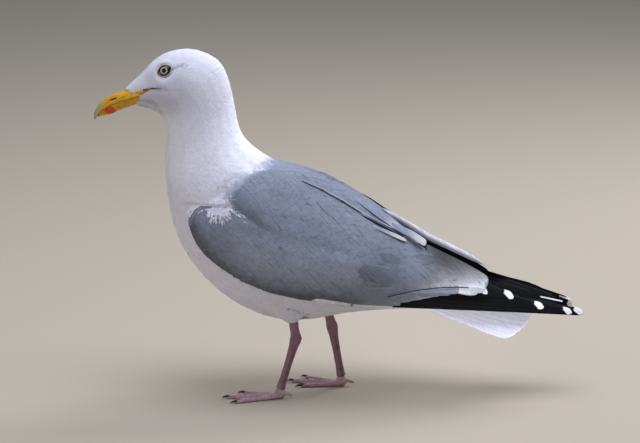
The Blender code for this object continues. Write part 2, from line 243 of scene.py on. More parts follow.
# %% [markdown]
# ## The lie of the feathers
#
# On every bird the feathers point from the bill towards the tail. The body was lofted along a
# row of stations, so "towards the tail" is the way a point moves when its station number grows.
# The same stations are written out here, and sampled densely, to look that direction up for any
# point of the skin. The station number also says how far back on the bird a point is.

# %% Stations of the body
# Each row: the point on the back (x, z), the point on the belly (x, z), half width. Metres.
BODY = np.array([
    (-0.2325, 0.3300, -0.2170, 0.3150, 0.0075), (-0.2105, 0.3495, -0.2035, 0.3122, 0.0165),
    (-0.1985, 0.3625, -0.1935, 0.3072, 0.0225), (-0.1810, 0.3728, -0.1850, 0.2990, 0.0270),
    (-0.1555, 0.3755, -0.1825, 0.2870, 0.0295), (-0.1295, 0.3640, -0.1850, 0.2740, 0.0310),
    (-0.1185, 0.3435, -0.1862, 0.2610, 0.0325), (-0.1125, 0.3165, -0.1860, 0.2440, 0.0365),
    (-0.1065, 0.2880, -0.1840, 0.2210, 0.0440), (-0.0920, 0.2700, -0.1787, 0.1900, 0.0520),
    (-0.0690, 0.2555, -0.1680, 0.1610, 0.0570), (-0.0420, 0.2470, -0.1445, 0.1280, 0.0600),
    (-0.0100, 0.2330, -0.1070, 0.1010, 0.0600), (0.0260, 0.2140, -0.0550, 0.0850, 0.0560),
    (0.0620, 0.1880, 0.0050, 0.0875, 0.0460), (0.0960, 0.1550, 0.0560, 0.0925, 0.0330),
    (0.1220, 0.1230, 0.0980, 0.0940, 0.0220), (0.1700, 0.1000, 0.1600, 0.0900, 0.0300),
])


def smooth_row(rows, place):
    """Catmull-Rom interpolation between rows of measures; place: 0 for the first row."""
    last = len(rows) - 1
    i = min(int(place), last - 1)
    t = place - i
    a, b, c, d = (rows[max(0, min(last, k))] for k in (i - 1, i, i + 1, i + 2))
    return 0.5 * (2 * b + (c - a) * t + (2 * a - 5 * b + 4 * c - d) * t * t
                  + (3 * b - a - 3 * c + d) * t ** 3)


def body_point(station, angle):
    back_x, back_z, belly_x, belly_z, half_width = smooth_row(BODY, station)
    share = 0.5 + 0.5 * math.cos(angle)
    return Vector((belly_x + (back_x - belly_x) * share, half_width * math.sin(angle),
                   belly_z + (back_z - belly_z) * share))


# %% Look up the lie
def sample_lie():
    """Points of the body with the direction of the feathers and the station number there."""
    places, ways, numbers = [], [], []
    for station in np.arange(0.1, len(BODY) - 1.2, 0.1):
        for angle in np.arange(0, 2 * math.pi, math.pi / 20):
            here, further = body_point(station, angle), body_point(station + 0.05, angle)
            if (further - here).length > 1e-6:
                places.append(here)
                ways.append((further - here).normalized())
                numbers.append(station)
    tree = KDTree(len(places))
    for k, place in enumerate(places):
        tree.insert(place, k)
    tree.balance()
    return tree, np.array(ways), np.array(numbers)


LIE_TREE, LIE_WAYS, LIE_STATIONS = sample_lie()
print("lie sampled at", len(LIE_WAYS), "places")

# %% [markdown]
# The folded wing lies on the body like a long leaf, and its feathers run from the wrist, at the
# front, back and down to the wing tip. Near the upper and lower edge they run along the edge.
# The edges are two simple curves, written as heights at a few places along the bird.

# %% Outline of the folded wing
WING_X = np.array([-0.1605, -0.1560, -0.1465, -0.1310, -0.1120, -0.0850, -0.0430, -0.0100, 0.0220,
                   0.0640, 0.0970, 0.1290, 0.1580])
WING_LOW = np.array([0.1965, 0.1820, 0.1665, 0.1500, 0.1370, 0.1245, 0.1165, 0.1125, 0.1110,
                     0.1085, 0.1140, 0.1205, 0.1265])
WING_HIGH = np.array([0.2075, 0.2160, 0.2210, 0.2290, 0.2425, 0.2520, 0.2455, 0.2320, 0.2110,
                      0.1815, 0.1590, 0.1420, 0.1290])
SLOPE_STEP = 0.012                  # the slope of an edge is measured this far to both sides


def wing_share(x, z):
    """0 at the lower edge of the folded wing, 1 at its upper edge."""
    low, high = np.interp(x, WING_X, WING_LOW), np.interp(x, WING_X, WING_HIGH)
    return (z - low) / np.maximum(high - low, 0.002)


def edge_slope(x, heights):
    ahead, behind = (np.interp(x + step, WING_X, heights) for step in (SLOPE_STEP, -SLOPE_STEP))
    return (ahead - behind) / (2 * SLOPE_STEP)


def wing_way(x, z):
    """The direction of a wing feather in the XZ plane, as a unit vector."""
    share = np.clip(wing_share(x, z), 0, 1)
    low = np.clip(edge_slope(x, WING_LOW), -1.6, 0.12)
    high = np.clip(edge_slope(x, WING_HIGH), -0.75, -0.12)
    fall = np.arctan(low * (1 - share) + high * share) - 0.22 * np.sin(math.pi * share)
    return np.cos(fall), np.sin(fall)


# %% [markdown]
# Which solid lies nearest says whether a place on the skin belongs to the wing, the thigh or the
# body.

# %% Nearest solid
def tree_of(node):
    bm = merged_copy(node)
    tree = BVHTree.FromBMesh(bm)
    bm.free()
    return tree


SOLID_TREES = {node: tree_of(node) for node in FLESH}


def distance_to(node, place):
    return SOLID_TREES[node].find_nearest(place)[3]


# %% Fields on the skin
ON_BODY, ON_WING, ON_THIGH = range(3)
THIGH_WAY = (0.1, 0.0, -1.0)


class Skin:
    """The skin's shape with everything the feathers need to know about it."""

    def __init__(self, mesh):
        self.refresh(mesh)
        self.measure()

    def refresh(self, mesh):
        """Reads the shape again, after its points have moved."""
        self.places = vertex_array(mesh)
        self.faces = np.array([tuple(p.vertices) for p in mesh.polygons])
        self.tree = BVHTree.FromPolygons(self.places.tolist(), self.faces.tolist())
        self.normals = normal_array(mesh)
        self.face_normals = self.normals[self.faces].mean(axis=1)
        self.face_normals /= np.linalg.norm(self.face_normals, axis=1, keepdims=True)
        self.centres = self.places[self.faces].mean(axis=1)

    def measure(self):
        """Looks up region, station and lie for every face."""
        count = len(self.centres)
        self.station = np.empty(count)
        self.way = np.empty((count, 3))
        self.region = np.empty(count, int)
        for k, centre in enumerate(self.centres):
            place = Vector(centre)
            side = "left" if centre[1] < 0 else "right"
            _, nearest, _ = LIE_TREE.find(place)
            self.station[k] = LIE_STATIONS[nearest]
            self.way[k] = LIE_WAYS[nearest]
            body = min(distance_to(node, place) for node in ("head", "neck", "trunk"))
            wing = distance_to("wing_" + side, place)
            thigh = distance_to("thigh_" + side, place)
            if wing < body and wing < thigh:
                self.region[k] = ON_WING
            else:
                self.region[k] = ON_THIGH if thigh < body else ON_BODY
        x, z = self.centres[:, 0], self.centres[:, 2]
        along, fall = wing_way(x, z)
        wing_ways = np.stack([along, np.zeros(count), fall], axis=1)
        self.way[self.region == ON_WING] = wing_ways[self.region == ON_WING]
        self.way[self.region == ON_THIGH] = THIGH_WAY
        self.settle_ways()

    def settle_ways(self):
        """Lays every direction along the surface."""
        off = np.sum(self.way * self.face_normals, axis=1, keepdims=True)
        self.way -= off * self.face_normals
        self.way /= np.maximum(np.linalg.norm(self.way, axis=1, keepdims=True), 1e-9)


# %% [markdown]
# ## Modelling the skin of the face
#
# Under the feathers a gull's face is not an egg: the lores in front of the eye are hollow, a brow
# hangs over the eye, the cheek is full, and a crease runs back from the corner of the mouth
# round the pad of the jaw. Each of these is a soft push or pull on the skin, the way a modeller's
# thumb would do it. The push fades out with distance, so no edge shows.

# %% Seat of the eye
def smooth_step(value, low, high):
    share = np.clip((value - low) / (high - low), 0, 1)
    return share * share * (3 - 2 * share)


# The middle of the eye's opening on the right side, and the way the eye looks.
EYE_MIDDLE = np.array([-0.1856, 0.0183, 0.3553])
EYE_AXIS = np.array([-0.30, 1.0, 0.27])
EYE_AXIS /= np.linalg.norm(EYE_AXIS)
EYE_OPENING = 0.0060                # radius of the dark rim
EYE_RING = 0.0072                   # radius of the bare ring of skin round the eye
EYE_SEAT = -0.0012                  # how far the skin goes under the plane of the opening
print("eye at", EYE_MIDDLE, "looking along", EYE_AXIS.round(2))


def seen_from_eye(places):
    """Distance from the eye's axis, and height over the plane of its opening."""
    off = places * (1, 0, 1) + np.abs(places[:, 1:2]) * (0, 1, 0) - EYE_MIDDLE
    height = off @ EYE_AXIS
    return np.linalg.norm(off - height[:, None] * EYE_AXIS, axis=1), height


def seat_eye(places):
    """Brings the skin round the eye to the plane of its opening, and a little under the eye."""
    radius, height = seen_from_eye(places)
    near = (radius < 0.014) & (height > -0.016) & (height < 0.008)
    shallow = np.where(radius < 0.0095, np.maximum(height, EYE_SEAT), height)
    blend = smooth_step(radius, 0.0066, 0.0135)
    wanted = EYE_SEAT * (1 - smooth_step(radius, 0.0064, 0.0082))
    moved = wanted * (1 - blend) + shallow * blend
    axis = np.stack([np.full(len(places), EYE_AXIS[0]), EYE_AXIS[1] * np.sign(places[:, 1]),
                     np.full(len(places), EYE_AXIS[2])], axis=1)
    return places + axis * np.where(near, moved - height, 0)[:, None]


# %% Face

# Each push: centre (x, distance from the middle plane, z), radius, height.
FACE_PUSHES = [
    ((-0.2020, 0.0150, 0.3430), 0.0105, -0.0014),    # hollow lores
    ((-0.1890, 0.0190, 0.3655), 0.0070, 0.0009),     # brow
    ((-0.1830, 0.0260, 0.3300), 0.0140, 0.0011),     # cheek
    ((-0.2030, 0.0170, 0.3285), 0.0060, 0.0010),     # pad of the jaw
    ((-0.1560, 0.0270, 0.3450), 0.0180, 0.0006),     # back of the head
]
# Each crease: points (x, z) on the side of the head, half width, depth.
FACE_CREASES = [
    ([(-0.2090, 0.3325), (-0.2010, 0.3357), (-0.1946, 0.3370), (-0.1880, 0.3372), (-0.1815, 0.3345)],
     0.0013, 0.0007),
    ([(-0.1800, 0.3562), (-0.1765, 0.3572), (-0.1712, 0.3590), (-0.1650, 0.3615)], 0.0016, 0.0014),
    ([(-0.2125, 0.3222), (-0.2056, 0.3222), (-0.1991, 0.3212), (-0.1940, 0.3188)], 0.0013, 0.0018),
    ([(-0.2160, 0.3168), (-0.2103, 0.3158), (-0.2018, 0.3142), (-0.1931, 0.3118), (-0.1880, 0.3080)],
     0.0016, 0.0022),
]


def fade(distance, radius):
    return np.exp(-(distance / radius) ** 2 * 1.5)


def distance_to_line(points, line):
    """Shortest distance from each (x, z) to a chain of (x, z) points."""
    best = np.full(len(points), 1.0)
    for start, end in zip(np.array(line[:-1]), np.array(line[1:])):
        span = end - start
        share = np.clip(((points - start) @ span) / (span @ span), 0, 1)
        best = np.minimum(best, np.linalg.norm(points - start - share[:, None] * span, axis=1))
    return best


def model_face(places, normals):
    height = np.zeros(len(places))
    folded = places * (1, 0, 1) + np.abs(places[:, 1:2]) * (0, 1, 0)
    for centre, radius, amount in FACE_PUSHES:
        height += amount * fade(np.linalg.norm(folded - centre, axis=1), radius)
    on_side = np.clip((folded[:, 1] - 0.002) / 0.004, 0, 1)
    for line, half_width, depth in FACE_CREASES:
        height -= depth * on_side * fade(distance_to_line(places[:, [0, 2]], line), half_width)
    return places + normals * height[:, None]


# %% [markdown]
# The side has two soft steps of its own. The shoulder feathers form a full cushion that ends in
# a groove over the wing, and the front of the wing is a second, lower cushion.

# %% Cushions of the side
SHOULDER_GROOVE = [(-0.1150, 0.2187), (-0.1055, 0.2130), (-0.0950, 0.2060), (-0.0823, 0.1969),
                   (-0.0718, 0.1928), (-0.0450, 0.1860), (0.0000, 0.1740)]
GROOVE_HALF_WIDTH = 0.0045
GROOVE_DEPTH = 0.0018
CUSHION_RISE = 0.0022
CUSHION_WIDTH = 0.022


def model_side(places, normals):
    """A groove along the line, and a full cushion that rises above it and dies away."""
    on_side = np.clip((np.abs(places[:, 1]) - 0.030) / 0.012, 0, 1) * (places[:, 2] > 0.12)
    far_end = 1 - smooth_step(places[:, 0], -0.098, -0.055)
    gap = distance_to_line(places[:, [0, 2]], SHOULDER_GROOVE)
    line = np.array(SHOULDER_GROOVE)
    above = places[:, 2] > np.interp(places[:, 0], line[:, 0], line[:, 1])
    groove = -GROOVE_DEPTH * fade(gap, GROOVE_HALF_WIDTH)
    cushion = CUSHION_RISE * above * (gap / CUSHION_WIDTH) * np.exp(1 - gap / CUSHION_WIDTH)
    return places + normals * ((groove + cushion) * on_side * far_end)[:, None]


# %% [markdown]
# The feathers between the shoulders stand a little fuller than the solid does, so the back is
# lifted by a soft push of its own.

# %% Fullness of the back
BACK_MIDDLE = (0.0080, 0.0080, 0.2220)
BACK_RADII = (0.032, 0.030, 0.030)
BACK_RISE = 0.0004


def raise_back(places):
    lift = BACK_RISE * fade(np.linalg.norm((places - BACK_MIDDLE) / BACK_RADII, axis=1), 1.0)
    return places + lift[:, None] * (0, 0, 1)


# %% [markdown]
# The coat has a depth. The skin is drawn in by it, so that the tips of the feathers, and not the
# skin, make the outline of the bird. The coat is thinnest at the bill and round the eye.

# %% Draw the skin in by the depth of the coat
DEPTH_AT_STATION = np.array([0.5, 0.6, 0.7, 0.8, 0.9, 1.0, 1.1, 1.2, 1.3, 1.4] + [1.5] * 8) / 1000
WING_DEPTH = 0.0013
EYE_BARE_RADIUS = 0.0078


def eye_distance(places):
    """Distance from the axis of the nearer eye; far away for what isn't on the head."""
    radius, height = seen_from_eye(places)
    return np.where(np.abs(height) < 0.02, radius, 1.0)


def coat_depth(places, stations, regions):
    depth = np.interp(stations, np.arange(len(DEPTH_AT_STATION)), DEPTH_AT_STATION)
    depth = np.where(regions == ON_WING, WING_DEPTH, depth)
    near_eye = np.clip((eye_distance(places) - EYE_BARE_RADIUS) / 0.006, 0, 1)
    return depth * (0.45 + 0.55 * near_eye)


# %% One closed surface
def largest_island(mesh):
    """Leaves only the one surface that holds almost all the faces."""
    bm = bmesh.new()
    bm.from_mesh(mesh)
    left = set(bm.faces)
    islands = []
    while left:
        island, to_visit = [], [left.pop()]
        while to_visit:
            face = to_visit.pop()
            island.append(face)
            beside = {other for edge in face.edges for other in edge.link_faces} & left
            left -= beside
            to_visit += beside
        islands.append(island)
    islands.sort(key=len)
    crumbs = sum(islands[:-1], [])
    bmesh.ops.delete(bm, geom=crumbs, context="FACES")
    bm.to_mesh(mesh)
    bm.free()
    print("crumbs removed:", len(crumbs), "faces")


def set_places(mesh, places):
    mesh.vertices.foreach_set("co", places.astype(np.float32).ravel())
    mesh.update()


def face_to_point(mesh_faces, values, count):
    """Mean of the values of the faces round each point."""
    total = np.zeros(count)
    uses = np.zeros(count)
    for corner in range(mesh_faces.shape[1]):
        np.add.at(total, mesh_faces[:, corner], values)
        np.add.at(uses, mesh_faces[:, corner], 1)
    return total / np.maximum(uses, 1)


# %% Shape the skin
largest_island(skin_mesh)
skin = Skin(skin_mesh)
print("faces on body, wings, thighs:", np.bincount(skin.region))
seated = seat_eye(skin.places)
set_places(skin_mesh, raise_back(model_side(model_face(seated, skin.normals), skin.normals)))
depth_of_face = coat_depth(skin.centres, skin.station, skin.region)
depth_of_point = face_to_point(skin.faces, depth_of_face, len(skin.places))
drawn_in = vertex_array(skin_mesh) - skin.normals * depth_of_point[:, None]
set_places(skin_mesh, drawn_in)
skin.refresh(skin_mesh)
drawn_range = [(depth * 1000).round(2) for depth in (depth_of_point.min(), depth_of_point.max())]
print("skin drawn in by", *drawn_range, "mm")

# %% [markdown]
# ## Markings
#
# White head, neck, underparts and tail; grey mantle and wings. On the real bird the border on
# the side of the breast is a soft tuft of white feathers that hangs over the bend of the wing.
# One function gives the colour at any place, and both skin and feathers ask it. It also paints
# light and shade into that colour: painted shade in the creases of the face, on the cheek, on the
# lower edge of the wing, in the hollow of the mantle and up the ends of the tertials, and painted
# light on the neck and on the middle of the wing.

# %% Colour at a place
WHITE = np.array([0.74, 0.735, 0.82])
GREY = np.array([0.218, 0.243, 0.308])
# Front border of the grey mantle, from the ridge of the back down the side: heights and x.
MANTLE_Z = np.array([0.150, 0.192, 0.2029, 0.2063, 0.2127, 0.2167, 0.2215, 0.2290, 0.2337, 0.2386,
                     0.2413, 0.2449, 0.2495, 0.2532, 0.2620])
MANTLE_X = np.array([-0.1000, -0.1100, -0.1190, -0.1182, -0.1139, -0.1140, -0.1171, -0.1204,
                     -0.1200, -0.1140, -0.1095, -0.1030, -0.0955, -0.0850, -0.0680])
# Lower border of the white tuft over the bend of the wing: x and heights.
TUFT_X = np.array([-0.1590, -0.1565, -0.1522, -0.1479, -0.1410, -0.1390, -0.1372, -0.1308, -0.1245,
                   -0.1182, -0.1139, -0.1100])
TUFT_Z = np.array([0.2062, 0.2120, 0.2155, 0.2172, 0.2165, 0.2110, 0.2045, 0.2029, 0.2032, 0.2063,
                   0.2127, 0.2160])


def greyness(places, regions):
    """1 where the plumage is grey, 0 where it is white."""
    x, z = places[:, 0], places[:, 2]
    softness = 0.0060 + 0.0110 * smooth_step(z, 0.222, 0.240)
    behind_mantle = smooth_step((x - np.interp(z, MANTLE_Z, MANTLE_X)) / softness, -1, 1)
    in_tuft = (x > -0.1400) & (x < -0.1120)
    edge = np.interp(x, TUFT_X, TUFT_Z) + np.where(in_tuft, 0.004, 0.006 * (x < -0.1400))
    under_tuft = smooth_step(edge - z, -0.0015, 0.0015)
    on_wing = np.maximum(behind_mantle, under_tuft)
    rump = smooth_step(x, 0.075, 0.085)
    above_wing = smooth_step(wing_share(x, z), 0.55, 0.75)
    on_back = behind_mantle * above_wing * (1 - rump)
    return np.where(regions == ON_WING, on_wing, np.where(regions == ON_BODY, on_back, 0.0))


# %% Painted light and shade of the plumage
def face_painted_light_and_shade(places):
    """Painted shade in the creases of the face and on the cheek, painted light on the neck."""
    side_on = places[:, [0, 2]]
    shade = np.ones(len(places))
    for line, half_width, _ in FACE_CREASES:
        shade -= 0.22 * fade(distance_to_line(side_on, line), half_width * 1.3)
    cheek = np.linalg.norm((side_on - (-0.1900, 0.3330)) * (1.0, 1.3), axis=1)
    height = side_on[:, 1]
    neck = smooth_step(height, 0.228, 0.255) * (1 - smooth_step(height, 0.292, 0.318))
    return shade - 0.20 * (1 - smooth_step(cheek, 0.017, 0.046)) + 0.09 * neck


# The hollow of the grey mantle above the shoulder, where the painted shade is darkest.
MANTLE_HOLLOW_SHADE_LINE = [(-0.1120, 0.2280), (-0.1000, 0.2150), (-0.0860, 0.2040)]


def wing_painted_light_and_shade(x, z):
    """Painted light and shade of the folded wing: painted shade on its lower edge and in the hollow
    of the mantle, painted light on its middle, and darker towards the tail.
    """
    above = z - np.interp(x, WING_X, WING_LOW)
    forward = 1 - smooth_step(x, 0.000, 0.040)
    reach = 0.039 - 0.018 * smooth_step(x, -0.150, -0.105)
    # Painted shade on the lower edge, which turns away from the light.
    lower_edge = 0.66 * (1 - smooth_step(above / reach, 0, 1)) * forward
    dark = lower_edge + 0.20 * smooth_step(x, 0.015, 0.065)
    # Painted light on the middle of the wing.
    middle = smooth_step(above, 0.014, 0.034) * (1 - smooth_step(above, 0.050, 0.070))
    pale = 0.36 * middle * smooth_step(x, -0.130, -0.095) * forward
    # Painted shade in the hollow of the mantle.
    hollow = 0.24 * fade(distance_to_line(np.stack([x, z], axis=1), MANTLE_HOLLOW_SHADE_LINE), 0.010)
    return 1 - dark + pale - hollow


def tertial_ends_with_painted_shade(places, colours):
    """Towards the ends of the tertials: nearly white at the lower edge, and painted shade that
    grows darker and darker upwards.
    """
    share = smooth_step(places[..., 0], 0.075, 0.112)[..., None]
    end_shade = 0.56 * np.exp(-np.maximum(places[..., 2] - 0.1250, 0) / 0.0100)[..., None]
    return colours * (1 - share) + end_shade * np.array([1.0, 1.0, 1.06]) * share


def plumage(places, regions):
    grey = greyness(places, regions)[:, None]
    on_wing = (regions == ON_WING)[:, None]
    shade = np.where(on_wing, wing_painted_light_and_shade(places[:, 0], places[:, 2])[:, None], 1.0)
    wing = np.where(on_wing, tertial_ends_with_painted_shade(places, GREY * shade), GREY)
    return (WHITE * (1 - grey) + wing * grey) * face_painted_light_and_shade(places)[:, None]


print("grey share of the skin:", greyness(skin.centres, skin.region).mean().round(2))

# %% [markdown]
# ## Where the feathers grow
#
# Feathers are scattered over the skin, close together where they are small and further apart
# where they are large. Random darts are thrown at the surface, and a dart is kept if no other
# root is too near. That gives the even but unruly spacing of a real coat. Places that are
# covered, such as the flank under the wing, get none.

# %% Length of the feathers
LENGTH_AT_STATION = np.array([2.6, 3.2, 3.8, 4.6, 5.6, 6.6, 8.0, 9.5, 11, 12, 13, 14, 15, 16, 18, 22,
                              24, 24]) / 1000
WING_LENGTH_AT = ([-0.16, -0.145, -0.11, -0.05, 0.02, 0.09],
                  [0.007, 0.009, 0.0125, 0.018, 0.026, 0.030])
THIGH_LENGTH = 0.0075
SPACING_SHARE = 0.29                # distance between roots as a share of the length


def wing_length(x, z):
    """Small at the bend and the lower edge of the wing, longer towards the tail."""
    share = np.clip(wing_share(x, z), 0, 1)
    edge = 0.72 + 0.28 * smooth_step(share, 0.0, 0.25)
    return np.interp(x, *WING_LENGTH_AT) * edge


def feather_length(places, stations, regions):
    length = np.interp(stations, np.arange(len(LENGTH_AT_STATION)), LENGTH_AT_STATION)
    length = np.where(regions == ON_WING, wing_length(places[:, 0], places[:, 2]), length)
    length = np.where(regions == ON_THIGH, THIGH_LENGTH, length)
    near_eye = np.clip((eye_distance(places) - EYE_BARE_RADIUS) / 0.02, 0, 1)
    return length * (0.75 + 0.25 * near_eye)


# %% Throw the darts
SMALL_FEATHERS_END = 0.098          # behind this the large feathers alone make the wing
LOW_FEATHERS_END = 0.040            # the same, below the lowest tertial
LOWEST_TERTIAL = 0.1300
DARTS_PER_ROOM = 3.2                # darts thrown for each place where a feather has room
ROOM_ABOVE = 0.012                  # a root with something nearer above it is covered


def open_to_the_air(place, normal):
    start = Vector(place) + Vector(normal) * 0.0012
    return skin.tree.ray_cast(start, Vector(normal), ROOM_ABOVE)[0] is None


def scatter_roots(seed):
    rng = np.random.default_rng(seed)
    quads = skin.places[skin.faces]
    diagonals = np.cross(quads[:, 2] - quads[:, 0], quads[:, 3] - quads[:, 1])
    area = 0.5 * np.linalg.norm(diagonals, axis=1)
    spacing = feather_length(skin.centres, skin.station, skin.region) * SPACING_SHARE
    darts_per_face = DARTS_PER_ROOM * area / spacing ** 2
    count = int(darts_per_face.sum())
    chosen = rng.choice(len(area), size=count, p=darts_per_face / darts_per_face.sum())
    s, t = rng.random((2, count, 1))
    q = quads[chosen]
    darts = (q[:, 0] * (1 - s) + q[:, 1] * s) * (1 - t) + (q[:, 3] * (1 - s) + q[:, 2] * s) * t
    cell = float(spacing.max())
    grid, kept = {}, []
    cells = np.floor(darts / cell).astype(int)
    for k in range(count):
        face = chosen[k]
        if eye_distance(darts[k:k + 1])[0] < EYE_BARE_RADIUS:
            continue
        end = SMALL_FEATHERS_END if darts[k][2] > LOWEST_TERTIAL else LOW_FEATHERS_END
        if skin.region[face] == ON_WING and darts[k][0] > end:
            continue
        reach = spacing[face] * 0.82
        cx, cy, cz = cells[k]
        near = (darts[j] for dx in (-1, 0, 1) for dy in (-1, 0, 1) for dz in (-1, 0, 1)
                for j in grid.get((cx + dx, cy + dy, cz + dz), ()))
        if all(abs(p[0] - darts[k][0]) > reach or np.dot(p - darts[k], p - darts[k]) > reach * reach
               for p in near):
            grid.setdefault((cx, cy, cz), []).append(k)
            kept.append(k)
    kept = [k for k in kept if open_to_the_air(darts[k], skin.face_normals[chosen[k]])]
    return darts[kept], chosen[kept]


roots, root_faces = scatter_roots(seed=11)
print("feather roots:", len(roots))

# %% [markdown]
# ## One small feather
#
# A body feather is a thin leaf with a round tip. It could be a flat card with a picture on it,
# but a card has no thickness and its edge is lost from the side. Here it is a closed leaf: a
# grid for the top, and a turned copy of it for the underside that shares the rim. The corners
# are kept in leaf coordinates: `across` from -1 to 1, `along` from 0 at the root to 1 at the
# tip, and `lens`, which is 1 in the middle of the top, 0 on the rim and -1 underneath.

# %% The leaf
def tapering(rows, half_widths):
    """How far along the feather each row of corners lies, and the half width there."""
    return lambda row: (row, np.interp(row, rows, half_widths))


ROUND_LEAF = tapering([0, 0.30, 0.60, 0.82, 1.0], [0.40, 0.90, 1.00, 0.84, 0.30])


class Leaf:
    def __init__(self, columns, rows, shape=ROUND_LEAF, tip_pull=0.12, to_the_rim=1.0):
        bm = bmesh.new()
        bmesh.ops.create_grid(bm, x_segments=columns, y_segments=rows, size=1)
        for vert in bm.verts:
            vert.co.z = 0 if vert.is_boundary else 1 - vert.co.x ** 2
        copy = bmesh.ops.duplicate(bm, geom=bm.verts[:] + bm.edges[:] + bm.faces[:])["geom"]
        for vert in (g for g in copy if isinstance(g, bmesh.types.BMVert)):
            vert.co.z *= -1
        bmesh.ops.reverse_faces(bm, faces=[g for g in copy if isinstance(g, bmesh.types.BMFace)])
        bmesh.ops.remove_doubles(bm, verts=bm.verts, dist=1e-5)
        bm.verts.index_update()
        corners = np.array([tuple(vert.co) for vert in bm.verts])
        corners[:, 0] = np.sign(corners[:, 0]) * np.abs(corners[:, 0]) ** to_the_rim
        self.faces = np.array([[vert.index for vert in face.verts] for face in bm.faces])
        bm.free()
        self.across, self.lens = corners[:, 0], corners[:, 2]
        row = (corners[:, 1] + 1) / 2
        self.along, half_width = shape(row)
        self.along = self.along - tip_pull * self.across ** 2 * row
        self.side = self.across * half_width
        self.rows = rows
        print("leaf:", len(corners), "corners,", 2 * len(self.faces), "triangles")


SMALL_LEAF = Leaf(2, 3)
BODY_LEAF = Leaf(4, 4)
WING_LEAF = Leaf(4, 6)

# %% [markdown]
# ## Laying a feather on the skin
#
# A feather starts at its root and walks over the skin a few steps, each time finding the nearest
# place on the skin and turning a little towards the lie there. That walk is its shaft. Every
# corner of the leaf is then set beside the shaft, dropped onto the skin, and lifted: the root
# lies in the skin, and the tip stands off by the depth of the coat, so that the tips cover the
# roots behind them like tiles on a roof.

# %% Walk over the skin
def unit(vectors):
    return vectors / np.maximum(np.linalg.norm(vectors, axis=-1, keepdims=True), 1e-12)


def nearness(corners, points):
    """Weights that are larger for the corners of a face that lie nearer to its point."""
    off = np.linalg.norm(corners - points[:, None], axis=2)
    return (1 / (off ** 2 + 1e-8))[:, :, None]


def nearest_on_skin(points, limit):
    """Nearest places with smooth normals and faces; beyond the limit a point stays in the air."""
    hits = [skin.tree.find_nearest(p) for p in points.tolist()]
    places = np.array([hit[0][:] for hit in hits])
    faces = np.array([hit[2] for hit in hits])
    gap = np.array([hit[3] for hit in hits])
    corners = skin.faces[faces]
    weight = nearness(skin.places[corners], places)
    normals = unit((skin.normals[corners] * weight).sum(axis=1))
    in_air = gap > limit
    places[in_air] = points[in_air]
    return places, normals, faces


def walk_shafts(roots, ways, lengths, rows, follow):
    places, normals, _ = nearest_on_skin(roots, 1.0)
    walk, headings = [places], [ways]
    for _ in range(rows):
        stride = (lengths / rows)[:, None]
        ahead = walk[-1] + headings[-1] * stride
        places, normals, faces = nearest_on_skin(ahead, stride[:, 0] * 0.7)
        heading = headings[-1] * (1 - follow) + skin.way[faces] * follow
        heading = unit(heading - normals * np.sum(heading * normals, axis=1, keepdims=True))
        walk.append(places)
        headings.append(heading)
    return np.stack(walk, axis=1), np.stack(headings, axis=1)


def along_shaft(rows_of_values, share):
    """Values of a walk at a share of the way, for each corner of the leaf: (feathers, corners, 3)."""
    last = rows_of_values.shape[1] - 1
    row = np.clip(share * last, 0, last - 1e-6)
    low = row.astype(int)
    part = (row - low)[None, :, None]
    return rows_of_values[:, low] * (1 - part) + rows_of_values[:, low + 1] * part


# %% Lay the leaves
def lay_leaves(leaf, roots, ways, lengths, widths, depths, sink=0.0003, thickness=0.00006,
               curve=0.2, follow=0.3):
    """Corner places and the skin's normals under them, both as (feathers, corners, 3)."""
    walk, headings = walk_shafts(roots, ways, lengths, leaf.rows, follow)
    middle, heading = along_shaft(walk, leaf.along), along_shaft(headings, leaf.along)
    count, corners = middle.shape[:2]
    normals = nearest_on_skin(middle.reshape(-1, 3), 1.0)[1]
    side = unit(np.cross(heading, normals.reshape(count, corners, 3)))
    beside = middle + side * (leaf.side * widths[:, None] / 2)[:, :, None]
    limit = np.repeat(widths * 0.6, corners)
    places, normals, _ = nearest_on_skin(beside.reshape(-1, 3), limit)
    places, normals = places.reshape(count, corners, 3), normals.reshape(count, corners, 3)
    height = -sink + (depths[:, None] + sink) * leaf.along[None, :] ** curve
    height = height + leaf.lens[None, :] * thickness
    return places + normals * height[:, :, None], normals


# %% [markdown]
# All leaves of one stretch of the coat become one mesh. Copies of the leaf's faces are numbered
# through, which is what an array with merging off would do. Each corner also gets what the
# finish needs: the colour of its feather, a `barbs` map that follows the barbs of the vane, and
# the `OFBake` map, a small patch for each feather at its root's place on an unwrap of the skin.

# %% Unwrap of the skin
CHART_VOXEL = 0.005
PATCH = 0.003


def unwrapped_chart():
    """A coarse copy of the skin, unwrapped: a tree to find a place on it, and UVs by face."""
    coarse = new_object("chart", skin_mesh.copy())
    remesh = coarse.modifiers.new("coarse", "REMESH")
    remesh.mode = "VOXEL"
    remesh.voxel_size = CHART_VOXEL
    mesh = evaluated_mesh(coarse)
    obj = new_object("chart", mesh)
    bpy.context.view_layer.objects.active = obj
    obj.select_set(True)
    bpy.ops.object.mode_set(mode="EDIT")
    bpy.ops.mesh.select_all(action="SELECT")
    bpy.ops.uv.smart_project(angle_limit=math.radians(60), island_margin=0.004)
    bpy.ops.object.mode_set(mode="OBJECT")
    uv = np.empty(len(mesh.loops) * 2, np.float32)
    mesh.uv_layers.active.data.foreach_get("uv", uv)
    uv = uv.reshape(-1, 4, 2).astype(float)
    faces = np.array([tuple(p.vertices) for p in mesh.polygons])
    places = vertex_array(mesh)
    tree = BVHTree.FromPolygons(places.tolist(), faces.tolist())
    bpy.data.objects.remove(obj)
    return tree, places[faces], uv


CHART_TREE, CHART_CORNERS, CHART_UV = unwrapped_chart()
print("chart:", len(CHART_UV), "faces")


